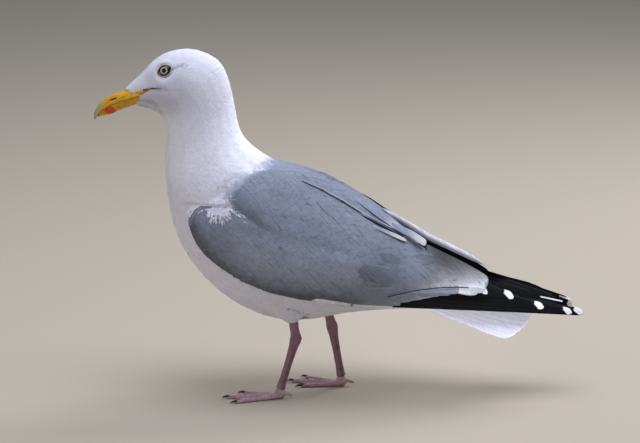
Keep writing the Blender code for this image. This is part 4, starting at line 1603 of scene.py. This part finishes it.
def laid_feathers(name, leaf, rows, depth, colour, material, slot, seed, softness, curve=0.5,
                  spread=0.0, vane_map=False, tint=0.03, rim=None):
    """rows: (root, tip, width), root and tip in space. rim: colour of the lower edge."""
    rng = np.random.default_rng(seed)
    starts, ends, widths = (np.array(values) for values in zip(*rows))
    count = len(rows)
    lengths = np.linalg.norm(ends - starts, axis=1)
    depths = depth * rng.uniform(1 - spread, 1 + spread, count)
    corners, normals = lay_leaves(leaf, starts, unit(ends - starts), lengths, widths, depths,
                                  sink=0.001, thickness=0.0002, curve=curve, follow=0.0)
    shade = rng.normal(1.0, tint, (count, 1, 1))
    colours = np.array(colour)[None, None] * shade * np.ones((count, len(leaf.along), 3))
    if rim is not None:
        rise = (corners[:, np.argmax(leaf.across)] - corners[:, np.argmin(leaf.across)])[:, 2]
        for k, lower_edge in enumerate(np.where(rise < 0, 1, -1)):
            colours[k, leaf.across * lower_edge > 0.99] = rim
    barbs = barb_map(leaf, lengths, widths, rng)
    piece = feather_piece(name, leaf, corners, normals, colours, barbs,
                          root_patches(leaf, starts), material, slot, softness)
    if vane_map:
        map_vane(piece, leaf, lengths, widths)


# %% Shoulder feathers and bend of the wing
# Each row: root (x, z), tip (x, z), width. The near-black ones lie deepest and show as a line
# of painted shadow under the edge of the shoulder feathers.
PAINTED_SHADOW_FEATHERS = [
    ((-0.0440, 0.2390), (-0.0180, 0.2266), 0.0008), ((-0.0240, 0.2295), (0.0040, 0.2137), 0.0011),
    ((-0.0020, 0.2173), (0.0230, 0.2010), 0.0013), ((0.0180, 0.2034), (0.0660, 0.1746), 0.0038),
]
PALE_EDGES = [
    ((-0.0440, 0.2404), (-0.0180, 0.2280), 0.0012), ((-0.0240, 0.2310), (0.0040, 0.2152), 0.0014),
    ((-0.0020, 0.2189), (0.0230, 0.2026), 0.0016), ((0.0180, 0.2056), (0.0560, 0.1834), 0.0018),
]
WHITE_ENDED_FEATHERS = [
    ((0.0300, 0.1925), (0.0690, 0.1712), 0.0066), ((0.0060, 0.2215), (0.0780, 0.1905), 0.0130),
    ((0.0300, 0.2030), (0.0915, 0.1690), 0.0180),
]
# The smooth front edge of the folded wing, and the white line along it.
BEND = [
    ((-0.1340, 0.2160), (-0.1425, 0.2155), 0.0040), ((-0.1370, 0.2163), (-0.1490, 0.2135), 0.0046),
    ((-0.1430, 0.2153), (-0.1535, 0.2090), 0.0050), ((-0.1490, 0.2125), (-0.1562, 0.2030), 0.0050),
    ((-0.1535, 0.2080), (-0.1575, 0.1960), 0.0046),
]
BEND_LINE = [
    ((-0.1340, 0.2168), (-0.1440, 0.2165), 0.0009), ((-0.1420, 0.2168), (-0.1500, 0.2146), 0.0010),
    ((-0.1480, 0.2154), (-0.1545, 0.2098), 0.0010), ((-0.1530, 0.2114), (-0.1572, 0.2030), 0.0009),
]
PALE_RIM = GREY * 2.2


# Each set: name, rows, depth, colour, finish, slot, seed, softness, curve, other settings.
LAID_SETS = [
    # Painted shadow: near-black strips under the edge of the shoulder feathers.
    ("shaded_feathers_", PAINTED_SHADOW_FEATHERS, 0.0024, GREY * 0.04, DARK_FINISH, "grey_plumage", 40,
     0.3, 0.2, {}),
    ("pale_edges_", PALE_EDGES, 0.0024, GREY * 1.7, WING_PLUMAGE, "grey_plumage", 41,
     0.8, 0.2, {}),
    ("white_ended_feathers_", WHITE_ENDED_FEATHERS, 0.0032, GREY * 1.15, SHOULDER_FINISH,
     "grey_plumage", 42, 0.3, 0.3, {"vane_map": True, "rim": PALE_RIM}),
    ("wing_bend_", BEND, 0.0018, GREY * 0.95, WING_PLUMAGE, "grey_plumage", 46,
     0.9, 0.1, {"tint": 0.0}),
    ("bend_line_", BEND_LINE, 0.0030, WHITE, SOFT_PLUMAGE, "white_plumage", 47, 0.6, 0.1, {}),
]


def rows_on_side(rows, sign):
    return [(on_side(*root, sign), on_side(*tip, sign), width) for root, tip, width in rows]


for side, sign in SIDES.items():
    for name, rows, *looks, others in LAID_SETS:
        laid_feathers(name + side, SHOULDER_LEAF, rows_on_side(rows, sign), *looks, **others)

# %% Loose white plumes
TUFT_PLUMES, GROOVE_WISPS, MANTLE_PLUMES = 190, 16, 90      # how many on each side
TUFT_FROM, TUFT_TO = -0.1350, -0.117
GROOVE_TO = -0.104
plume_rng = np.random.default_rng(43)


def hanging_from(start, lean, length):
    """The end of a plume that leans down from the level by an angle in degrees."""
    lean = math.radians(lean)
    return start + np.array([math.cos(lean), 0, -math.sin(lean)]) * length


def tuft_plumes(sign):
    """Plumes that hang down over the bend of the wing and spread like a fan."""
    rows = []
    for x in plume_rng.uniform(TUFT_FROM, TUFT_TO, TUFT_PLUMES):
        z = np.interp(x, TUFT_X, TUFT_Z) + plume_rng.uniform(0.001, 0.023)
        length = plume_rng.uniform(0.005, 0.0085)
        lean = np.interp(x, [TUFT_FROM, TUFT_TO], [104, 50]) + plume_rng.normal(0, 9)
        start = on_side(x, z, sign)
        end = hanging_from(start, lean, length)
        rows.append((start, end, plume_rng.uniform(0.0008, 0.0014)))
    return rows


def groove_wisps(sign):
    """A few thin plumes that stray back along the groove of the shoulder."""
    rows = []
    for x in plume_rng.uniform(TUFT_TO, GROOVE_TO, GROOVE_WISPS):
        z = np.interp(x, [TUFT_TO, GROOVE_TO], [0.2140, 0.2080]) + plume_rng.normal(0, 0.0016)
        lean = plume_rng.normal(42, 8)
        start = on_side(x, z, sign)
        end = hanging_from(start, lean, plume_rng.uniform(0.006, 0.010))
        rows.append((start, end, plume_rng.uniform(0.0007, 0.0012)))
    return rows


def mantle_plumes(sign):
    """Plumes that run back over the front of the mantle."""
    rows = []
    for z in plume_rng.uniform(0.214, 0.231, MANTLE_PLUMES):
        x = np.interp(z, MANTLE_Z, MANTLE_X) + plume_rng.uniform(-0.010, 0.001)
        hit = skin.tree.ray_cast(Vector((x, sign * 0.2, z)), Vector((0, -sign, 0)))
        if hit[0] is None:
            continue
        length = plume_rng.uniform(0.005, 0.0085)
        start = np.array(hit[0])
        way = skin.way[hit[2]] + plume_rng.normal(0, 0.12, 3)
        rows.append((start, start + unit(way) * length, plume_rng.uniform(0.0010, 0.0022)))
    return rows


for side, sign in SIDES.items():
    # Painted light: the plumes of the tuft are whiter than the rest of the white plumage.
    laid_feathers("tuft_" + side, PLUME_LEAF, tuft_plumes(sign) + groove_wisps(sign), 0.0024,
                  WHITE * 1.18, SOFT_PLUMAGE, "white_plumage", 44, 0.8, spread=0.2)
    laid_feathers("mantle_edge_" + side, PLUME_LEAF, mantle_plumes(sign), 0.0016, WHITE * 0.62,
                  SOFT_PLUMAGE, "white_plumage", 45, 0.85, spread=0.1, tint=0.22)

# %% [markdown]
# ## Eyes
#
# A gull's eye is pale, with a small round pupil, a thick dark rim, and round it a narrow ring of
# bare yellow skin, which is the edge of the lids. The eyeball is a flattened sphere whose poles
# look outwards, so that rings of faces follow pupil and iris. An `iris` map holds the distance
# from the middle and the angle round it, and the material draws the rings from them.

# %% Turn a piece to face the way the eye looks
SLIT_RISE = math.radians(24)        # the back corner of the eye lies higher than the front one


def at_the_eye(sign, turn):
    """Moves a piece from the origin to the eye, after the turn."""
    return Matrix.Translation(Vector(EYE_MIDDLE * (1, sign, 1))) @ turn.to_4x4()


def eye_matrix(sign):
    return at_the_eye(sign, Vector(EYE_AXIS * (1, sign, 1)).to_track_quat("Z", "Y").to_matrix())


def slit_matrix(sign):
    """As eye_matrix, turned about the eye's axis so that x runs from front to back corner."""
    axis = Vector(EYE_AXIS * (1, sign, 1))
    along = Vector((math.cos(SLIT_RISE), 0, math.sin(SLIT_RISE)))
    along = (along - axis * along.dot(axis)).normalized()
    return at_the_eye(sign, Matrix((along, axis.cross(along), axis)).transposed())


def finished_piece(name, bm, material, slot, *solids):
    """Makes the bmesh a piece, with its faces outwards and smooth."""
    bmesh.ops.recalc_face_normals(bm, faces=bm.faces)
    mesh = bpy.data.meshes.new(name)
    bm.to_mesh(mesh)
    bm.free()
    mesh.shade_smooth()
    print(name + ":", len(mesh.polygons), "faces")
    add_piece(name, mesh, material, slot, *solids)


# %% Parts of the eye
BALL_RADII = (0.0071, 0.0071, 0.0040, 1)
BALL_SUNK = -0.0016                 # the middle of the eyeball lies behind the opening
CORNER_PLACE = (-0.0062, -0.0008, 0.0003)
CORNER_RADII = (0.0019, 0.0021, 0.0007, 1)
RING_LENGTH, RING_HEIGHT = 1.10, 0.85


def eye_ball(side, sign):
    bm = bmesh.new()
    bmesh.ops.create_uvsphere(bm, u_segments=48, v_segments=48, radius=1)
    layer = bm.loops.layers.uv.new("iris")
    for face in bm.faces:
        for loop in face.loops:
            x, y, z = loop.vert.co
            from_pupil = math.hypot(x, y) if z > 0 else 1.0
            loop[layer].uv = (from_pupil, math.atan2(y, x) / math.tau)
    place = Matrix.Translation((0, 0, BALL_SUNK)) @ Matrix.Diagonal(BALL_RADII)
    bmesh.ops.transform(bm, matrix=eye_matrix(sign) @ place, verts=bm.verts)
    finished_piece("eyeball_" + side, bm, EYE_FINISH, "eye", "eye_" + side)


def ring_of_skin(name, sign, radius, width, height, rise, material):
    """A round bead of skin: a circle spun about the eye's axis, with a corner at each end."""
    bm = bmesh.new()
    section = bmesh.ops.create_circle(bm, segments=12, radius=1)["verts"]
    place = Matrix.Translation((radius, 0, rise)) @ Matrix.Rotation(math.pi / 2, 4, "X")
    flatten = Matrix.Diagonal((width / 2, height / 2, 1, 1))
    bmesh.ops.transform(bm, matrix=place @ flatten, verts=section)
    bmesh.ops.spin(bm, geom=bm.verts[:] + bm.edges[:], cent=(0, 0, 0), axis=(0, 0, 1),
                   angle=math.tau, steps=72, use_merge=True)
    bmesh.ops.remove_doubles(bm, verts=bm.verts, dist=1e-6)
    for vert in bm.verts:
        angle = math.atan2(vert.co.y, vert.co.x)
        corner = max(0.0, abs(math.cos(angle)) - 0.80) / 0.20
        wrinkle = 0.00008 * math.sin(angle * 23) + 0.00005 * math.sin(angle * 41 + 1)
        stretch = 1 + wrinkle / radius
        vert.co.x *= stretch * (RING_LENGTH + 0.12 * corner ** 2)
        vert.co.y *= stretch * RING_HEIGHT
    bmesh.ops.transform(bm, matrix=slit_matrix(sign), verts=bm.verts)
    finished_piece(name, bm, material, "eye")


def inner_corner(name, sign):
    """The small bead of orange skin in the front corner of the eye."""
    bm = bmesh.new()
    bmesh.ops.create_uvsphere(bm, u_segments=20, v_segments=12, radius=1)
    bead = Matrix.Translation(CORNER_PLACE) @ Matrix.Diagonal(CORNER_RADII)
    bmesh.ops.transform(bm, matrix=slit_matrix(sign) @ bead, verts=bm.verts)
    finished_piece(name, bm, CORNER_FINISH, "eye")


# %% Materials of the eye
def ramp(tree, source, stops):
    """A colour ramp: stops are (place, colour)."""
    node = add_node(tree, "ShaderNodeValToRGB", {0: source})
    elements = node.color_ramp.elements
    for element, (place, colour) in zip(elements, (stops[0], stops[-1])):
        element.position = place
        element.color = (*colour, 1)
    for place, colour in stops[1:-1]:
        elements.new(place).color = (*colour, 1)
    return node.outputs["Color"]


def eye_material():
    material, tree, shader = new_material("eye_with_pale_iris", {
        "Base Color": (0.5, 0.5, 0.4, 1), "Roughness": 0.12, "Coat Weight": 0.5,
        "Coat Roughness": 0.06, "Specular IOR Level": 0.2})
    place = uv_place(tree, "iris")
    from_middle = add_node(tree, "ShaderNodeSeparateXYZ", {0: place}).outputs["X"]
    rays = noise(tree, stretched(tree, place, (6, 60, 1)))
    jitter = maths(tree, "MULTIPLY_ADD", rays, 0.05, from_middle)
    black, iris, grey_iris = (0.004, 0.004, 0.004), (0.42, 0.42, 0.34), (0.22, 0.22, 0.19)
    rings = ramp(tree, jitter, [(0.0, black), (0.345, black), (0.375, grey_iris), (0.46, iris),
                                (0.53, iris), (0.585, grey_iris), (0.62, black), (1.0, black)])
    feed(shader, {"Base Color": rings})
    return material


def bare_skin_material(name, colour, dark, roughness=0.55):
    """Bare skin: mottled between two tones, with a fine grain."""
    inputs = {"Base Color": (*colour, 1), "Roughness": roughness}
    material, tree, shader = new_material(name, inputs)
    mottle = noise(tree, object_place(tree), 900, 3)
    feed(shader, {"Base Color": ramp(tree, mottle, [(0.3, dark), (0.6, colour)])})
    emboss(tree, shader, mottle, 0.4, 0.0002)
    return material


EYE_FINISH = eye_material()
LID_FINISH = bare_skin_material("pale_rim_of_the_lids", (0.70, 0.60, 0.48), (0.48, 0.34, 0.22))
RIM_FINISH = bare_skin_material("dark_rim_of_the_lids", (0.020, 0.012, 0.010),
                                (0.008, 0.006, 0.006), 0.5)
CORNER_FINISH = bare_skin_material("orange_corner_of_the_eye", (0.34, 0.15, 0.07),
                                   (0.14, 0.06, 0.03))
for side, sign in SIDES.items():
    eye_ball(side, sign)
    ring_of_skin("dark_rim_" + side, sign, EYE_OPENING, 0.0016, 0.0012, 0.0002, RIM_FINISH)
    ring_of_skin("eye_ring_" + side, sign, EYE_RING, 0.0015, 0.0015, 0.0000, LID_FINISH)
    inner_corner("eye_corner_" + side, sign)

# %% [markdown]
# ## Bill
#
# The bill is horn over bone: an upper half that hooks down over the tip of the lower half, and a
# lower half with an angle under its tip, where the red spot sits. Each half is a loft: a row of
# circles, each pushed into the bill's section at that place, with bridges between them. That
# keeps the outline in a short table of named measures. Nostril and grooves are pressed in after.

# %% Loft
def loft(rings):
    """Circles moved onto the rings, bridged one after another and closed at both ends."""
    bm = bmesh.new()
    loops = []
    for ring in rings:
        verts = bmesh.ops.create_circle(bm, segments=len(ring), radius=1)["verts"]
        for vert, place in zip(verts, ring):
            vert.co = place
        loops.append(list({edge for vert in verts for edge in vert.link_edges}))
    for before, after in zip(loops[:-1], loops[1:]):
        bmesh.ops.bridge_loops(bm, edges=before + after)
    for end in (loops[0], loops[-1]):
        bmesh.ops.contextual_create(bm, geom=end)
    bmesh.ops.recalc_face_normals(bm, faces=bm.faces)
    return bm


# %% Measures of the bill
# Upper half: x, height of the ridge, height of the cutting edge, half width.
UPPER_BILL = [
    (-0.2618, 0.3052, 0.3007, 0.0009), (-0.2605, 0.3092, 0.3001, 0.0021), (-0.2585, 0.3130, 0.3036, 0.0032),
    (-0.2570, 0.3154, 0.3066, 0.0039), (-0.2539, 0.3190, 0.3091, 0.0050), (-0.2505, 0.3219, 0.3114, 0.0058),
    (-0.2472, 0.3243, 0.3140, 0.0064), (-0.2431, 0.3264, 0.3163, 0.0070), (-0.2391, 0.3280, 0.3182, 0.0076),
    (-0.2351, 0.3292, 0.3197, 0.0082), (-0.2311, 0.3303, 0.3211, 0.0090), (-0.2265, 0.3314, 0.3224, 0.0101),
    (-0.2200, 0.3336, 0.3247, 0.0124), (-0.2150, 0.3352, 0.3262, 0.0138), (-0.2126, 0.3358, 0.3267, 0.0143),
]
# Lower half: x, height of the cutting edge, height of the keel, half width.
LOWER_BILL = [
    (-0.2579, 0.3064, 0.3023, 0.0022), (-0.2553, 0.3088, 0.3033, 0.0038), (-0.2499, 0.3122, 0.3046, 0.0052),
    (-0.2446, 0.3157, 0.3054, 0.0061), (-0.2406, 0.3179, 0.3069, 0.0067), (-0.2366, 0.3196, 0.3092, 0.0073),
    (-0.2313, 0.3215, 0.3112, 0.0082), (-0.2259, 0.3231, 0.3131, 0.0094), (-0.2206, 0.3249, 0.3151, 0.0109),
    (-0.2150, 0.3267, 0.3175, 0.0131), (-0.2126, 0.3272, 0.3188, 0.0138),
]
NOSTRIL = [(-0.2449, 0.3209), (-0.2369, 0.3243)]
BILL_GROOVE = [(-0.2470, 0.3180), (-0.2400, 0.3212), (-0.2300, 0.3250), (-0.2200, 0.3285)]
BILL_RING = 44                      # corners of each section
RINGS_PER_ROW = 10


# %% One half of the bill
def bill_section(x, high, low, half_width, arch_up):
    """An arch on a flat side. The arch takes two thirds of the corners."""
    ring = []
    arch = BILL_RING * 2 // 3
    for k in range(BILL_RING):
        if k < arch:
            angle = math.pi * k / (arch - 1)
            y = half_width * math.copysign(abs(math.cos(angle)) ** 0.8, math.cos(angle))
            rise = math.sin(angle) ** 0.9
        else:
            y = half_width * (-1 + 2 * (k - arch + 1) / (BILL_RING - arch + 1))
            rise = 0.10 * (1 - (y / half_width) ** 2)
        z = low + (high - low) * rise if arch_up else high - (high - low) * rise
        ring.append(Vector((x, y, z)))
    return ring


def bill_half(name, rows, arch_up, solid):
    rows = np.array(rows)
    places = np.linspace(0, len(rows) - 1, RINGS_PER_ROW * (len(rows) - 1) + 1)
    bm = loft([bill_section(*smooth_row(rows, place), arch_up) for place in places])
    bm.normal_update()
    corners = np.array([tuple(vert.co) for vert in bm.verts])
    outward = np.array([tuple(vert.normal) for vert in bm.verts])
    side_on = corners[:, [0, 2]]
    on_side = np.abs(outward[:, 1]) > 0.3
    press = 0.0009 * fade(distance_to_line(side_on, NOSTRIL), 0.0006) * on_side
    if arch_up:
        press += 0.00022 * fade(distance_to_line(side_on, BILL_GROOVE), 0.0012)
    for vert, place in zip(bm.verts, corners - outward * press[:, None]):
        vert.co = place
    finished_piece(name, bm, BILL_FINISH, "bill", solid)


# %% Horn
def spot_of(tree, place, centre, stretch, outside, inside):
    """1 near the centre and 0 away from it, with each axis stretched first."""
    shift = tuple(-c * s for c, s in zip(centre, stretch))
    moved = stretched(tree, place, stretch, Location=shift)
    length = add_node(tree, "ShaderNodeVectorMath", {0: moved}, operation="LENGTH")
    return between(tree, length.outputs["Value"], outside, inside)


NOSTRIL_MIDDLE = (-0.2409, 0, 0.3226)
NOSTRIL_TILT = math.radians(23)
# Each patch: centre, stretch, where it starts and where it is full, colour.
BILL_PATCHES = [
    ((-0.2600, 0, 0.3150), (110, 60, 90), 1.2, 0.4, (0.36, 0.34, 0.10)),         # ridge of the hook
    ((-0.2645, 0, 0.3040), (130, 60, 90), 1.15, 0.45, (0.30, 0.33, 0.20)),       # tip
    ((-0.2445, 0, 0.3103), (148, 10, 210), 1.25, 0.60, (0.70, 0.065, 0.012)),    # red spot
]


def bill_material():
    material, tree, shader = new_material("horn_of_the_bill", {
        "Base Color": (0.60, 0.30, 0.02, 1), "Roughness": 0.42, "Coat Weight": 0.08,
        "Coat Roughness": 0.25, "Specular IOR Level": 0.3})
    place = object_place(tree)
    lie = stretched(tree, place, (150, 500, 500), Rotation=(0, math.radians(25), 0))
    grain = noise(tree, lie, detail=4.0)
    colour = ramp(tree, grain, [(0.3, (0.50, 0.235, 0.012)), (0.65, (0.74, 0.40, 0.020))])
    for centre, stretch, outside, inside, patch in BILL_PATCHES:
        colour = mixed(tree, spot_of(tree, place, centre, stretch, outside, inside), colour, patch)
    turned_place = turned_about_y(tree, place, Center=NOSTRIL_MIDDLE, Angle=NOSTRIL_TILT)
    # Painted shade in the slit of the nostril.
    slot = spot_of(tree, turned_place, NOSTRIL_MIDDLE, (230, 1, 1300), 1.2, 0.8)
    feed(shader, {"Base Color": mixed(tree, slot, colour, (0.05, 0.025, 0.01))})
    emboss(tree, shader, grain, 0.25, 0.0003)
    return material


BILL_FINISH = bill_material()
bill_half("upper_bill", UPPER_BILL, True, "bill_upper")
bill_half("lower_bill", LOWER_BILL, False, "bill_lower")

# %% [markdown]
# The corner of the mouth runs back under the eye as a wedge of orange skin, and ends in a thin
# line of painted shade where the two halves of the bill close. Both are laid on the face like
# feathers.

# %% Corner of the mouth
GAPE_FINISH = bare_skin_material("skin_of_the_gape", (0.62, 0.29, 0.02), (0.48, 0.20, 0.012))
MOUTH_SHADE_FINISH = bare_skin_material("painted_shade_of_the_mouth_line", (0.10, 0.022, 0.010),
                                       (0.03, 0.010, 0.006))
WEDGE_LEAF = Leaf(4, 12, tapering([0, 0.25, 0.45, 0.7, 1.0], [1.0, 0.85, 0.58, 0.34, 0.08]),
                  tip_pull=0)
# Each row: root (x, z), tip (x, z), width.
GAPE_WEDGE = [((-0.2165, 0.3287), (-0.1985, 0.3364), 0.0070),
              ((-0.2265, 0.3285), (-0.2030, 0.3338), 0.0066)]
MOUTH_LINE = [((-0.2090, 0.3333), (-0.1985, 0.3368), 0.0027),
              ((-0.2010, 0.3364), (-0.1865, 0.3374), 0.0018)]
for side, sign in SIDES.items():
    for name, rows, finish, depth in (("gape_", GAPE_WEDGE, GAPE_FINISH, 0.0009),
                                      ("mouth_line_", MOUTH_LINE, MOUTH_SHADE_FINISH, 0.0017)):
        laid_feathers(name + side, WEDGE_LEAF, rows_on_side(rows, sign), depth, (1, 1, 1), finish,
                      "bill", 51, 0.2, 0.2)

# %% [markdown]
# ## Legs and feet
#
# The bare legs are scaly skin over bone and sinew. A copy of each solid is melted like the skin
# was, which rounds the edges where toes, web and heel meet. Then three kinds of relief are
# pressed in: broad plates across the front of the shank and along the toes, folds round the
# ankle, and soft wrinkles that fan out over the web. An `open_to_light` value at each corner
# remembers how deep it lies, and the material paints shade into the deep places.

# %% Lines of the legs
# Each leg: ankle and foot joint (x, z).
LEGS = {
    "left": ((-0.0470, 0.0670), (-0.0640, 0.0100)),
    "right": ((-0.0085, 0.0680), (0.0020, 0.0100)),
}
LEG_SPREAD = 0.0270
TOES = ("inner", "middle", "outer")
PLATE = 0.0025                      # height of a plate on the shank
SMALL_PLATE = 0.0016                # of the net of scales behind the plates
TOE_PLATE = 0.0021


def in_space(point, side):
    return np.array([point[0], SIDES[side] * LEG_SPREAD, point[1]])


# %% Relief
def plates(along, pitch, depth):
    """Overlapping plates: each rises slowly to its lower edge and drops into a narrow groove."""
    share = along / pitch - np.floor(along / pitch)
    groove = np.exp(-(np.minimum(share, 1 - share) / 0.16) ** 2)
    return depth * (0.45 * share - groove)


def shank_relief(places, normals, side):
    """Height to add at each corner of the shank."""
    ankle, foot = (in_space(point, side) for point in LEGS[side])
    axis = unit(foot - ankle)
    off = places - ankle
    along = off @ axis
    front = unit(np.cross(axis, (0, 1, 0)))
    front *= -1 if front[0] > 0 else 1
    facing = normals @ front
    bowed = along + 0.0011 * (1 - np.clip(facing, 0, 1)) ** 2
    on_front = smooth_step(facing, 0.15, 0.5) * smooth_step(along, 0.006, 0.010)
    small = 0.5 * (plates(along + 0.4 * places[:, 1], SMALL_PLATE, 0.00009)
                   + plates(along - 0.4 * places[:, 1] + SMALL_PLATE / 2, SMALL_PLATE, 0.00009))
    fold = np.sin(along * 3400 + 9 * normals[:, 1]) * 0.00010 * np.exp(-(along / 0.0075) ** 2)
    sinew = -0.00035 * np.exp(-((facing + 0.25) / 0.16) ** 2) * smooth_step(along, 0.006, 0.014)
    return plates(bowed, PLATE, 0.00022) * on_front + small * (1 - on_front) + fold + sinew


# %% Relief of the feet
def toe_lines(side):
    """The foot joint and the middle of each claw, as (x, y)."""
    ends = [np.mean(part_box(f"claw_{side}_{toe}"), axis=0) for toe in TOES]
    return in_space(LEGS[side][1], side)[:2], [end[:2] for end in ends]


def foot_relief(places, normals, side):
    foot, ends = toe_lines(side)
    nearest = np.full(len(places), 1.0)
    along_nearest = np.zeros(len(places))
    for end in ends:
        way = unit(end - foot)
        along = (places[:, :2] - foot) @ way
        gap = np.abs((places[:, :2] - foot) @ np.array([-way[1], way[0]]))
        closer = (gap < nearest) & (along > 0)
        nearest = np.where(closer, gap, nearest)
        along_nearest = np.where(closer, along, along_nearest)
    on_top = smooth_step(normals[:, 2], 0.1, 0.5)
    on_toe = 1 - smooth_step(nearest, 0.0022, 0.0032)
    height = plates(along_nearest + 0.06 * nearest, TOE_PLATE, 0.00020) * on_top * on_toe
    angle = np.arctan2(places[:, 1] - foot[1], places[:, 0] - foot[0])
    reach = np.linalg.norm(places[:, :2] - foot, axis=1)
    fan = 0.00012 * np.sin(angle * 46) + 0.00007 * np.sin(angle * 83 + 1.3)
    net = 0.00006 * np.sin(reach * 3300 + 2.5 * np.sin(angle * 21))
    on_web = (1 - on_toe) * on_top * smooth_step(reach, 0.010, 0.016)
    height += (fan + net) * on_web
    return height * smooth_step(places[:, 2], 0.0003, 0.0010)


# %% Material of the legs
def leg_material(name, pale, dark, purple):
    material, tree, shader = new_material(name, {
        "Base Color": (*pale, 1), "Roughness": 0.5, "Specular IOR Level": 0.35})
    place = object_place(tree)
    colour = ramp(tree, noise(tree, place, 170, 4), [(0.36, dark), (0.50, pale), (0.66, purple)])
    scales = add_node(tree, "ShaderNodeTexVoronoi", {"Vector": place, "Scale": 800},
                      feature="DISTANCE_TO_EDGE").outputs["Distance"]
    open_to_light = add_node(tree, "ShaderNodeAttribute", {}, attribute_name="open_to_light").outputs["Fac"]
    seam = between(tree, scales, 0.0, 0.14, 0.72, 1.0)
    # Painted shade: the deep places of the relief are darker.
    deep = between(tree, open_to_light, 0.0, 0.6, 0.55, 1.06)
    feed(shader, {"Base Color": scaled(tree, colour, maths(tree, "MULTIPLY", seam, deep))})
    emboss(tree, shader, scales, 0.5, 0.0002)
    return material


# %% Legs as pieces
THIGH_REACH = 0.003                 # how much further the leg runs up inside the feathers
LEG_VOXEL = 0.0006 * 1.0
CLAW_VOXEL = 0.0003
SHADE_RELIEF = 0.0003                 # relief that takes open_to_light from none to full


def scaly_piece(name, solid, relief, side, material):
    mesh = melted_solids(name, [solid], LEG_VOXEL, 4)
    places, normals = vertex_array(mesh), normal_array(mesh)
    height = relief(places, normals, side)
    places = places + normals * height[:, None]
    if solid.startswith("shank"):
        top = places[:, 2].max()
        places[:, 2] += THIGH_REACH * smooth_step(places[:, 2], top - 0.006, top - 0.001)
    set_places(mesh, places)
    # open_to_light is 0 in the deep places of the relief, where the material paints shade.
    open_to_light = mesh.attributes.new("open_to_light", "FLOAT", "POINT")
    open_to_light.data.foreach_set("value", np.clip(height / SHADE_RELIEF + 0.6, 0, 1).astype(np.float32))
    mesh.shade_smooth()
    print(name + ":", len(mesh.polygons), "faces")
    add_piece(name, mesh, material, "leg", solid)


def claw_piece(name, side):
    solids = [f"claw_{side}_{toe}" for toe in TOES]
    mesh = melted_solids(name, solids, CLAW_VOXEL, 3)
    mesh.shade_smooth()
    print(name + ":", len(mesh.polygons), "faces")
    add_piece(name, mesh, CLAW_FINISH, "claw", *solids)


LEG_FINISH = leg_material("scaly_skin_of_the_legs", (0.33, 0.172, 0.205), (0.225, 0.125, 0.14),
                          (0.33, 0.16, 0.20))
FOOT_FINISH = leg_material("skin_of_the_feet", (0.60, 0.40, 0.43), (0.42, 0.27, 0.30),
                           (0.50, 0.29, 0.34))
CLAW_FINISH = bare_skin_material("horn_of_the_claws", (0.035, 0.026, 0.022),
                                 (0.015, 0.012, 0.011), 0.4)
for side in SIDES:
    scaly_piece("leg_" + side, "shank_" + side, shank_relief, side, LEG_FINISH)
    scaly_piece("webbed_foot_" + side, "foot_" + side, foot_relief, side, FOOT_FINISH)
    claw_piece("claws_" + side, side)
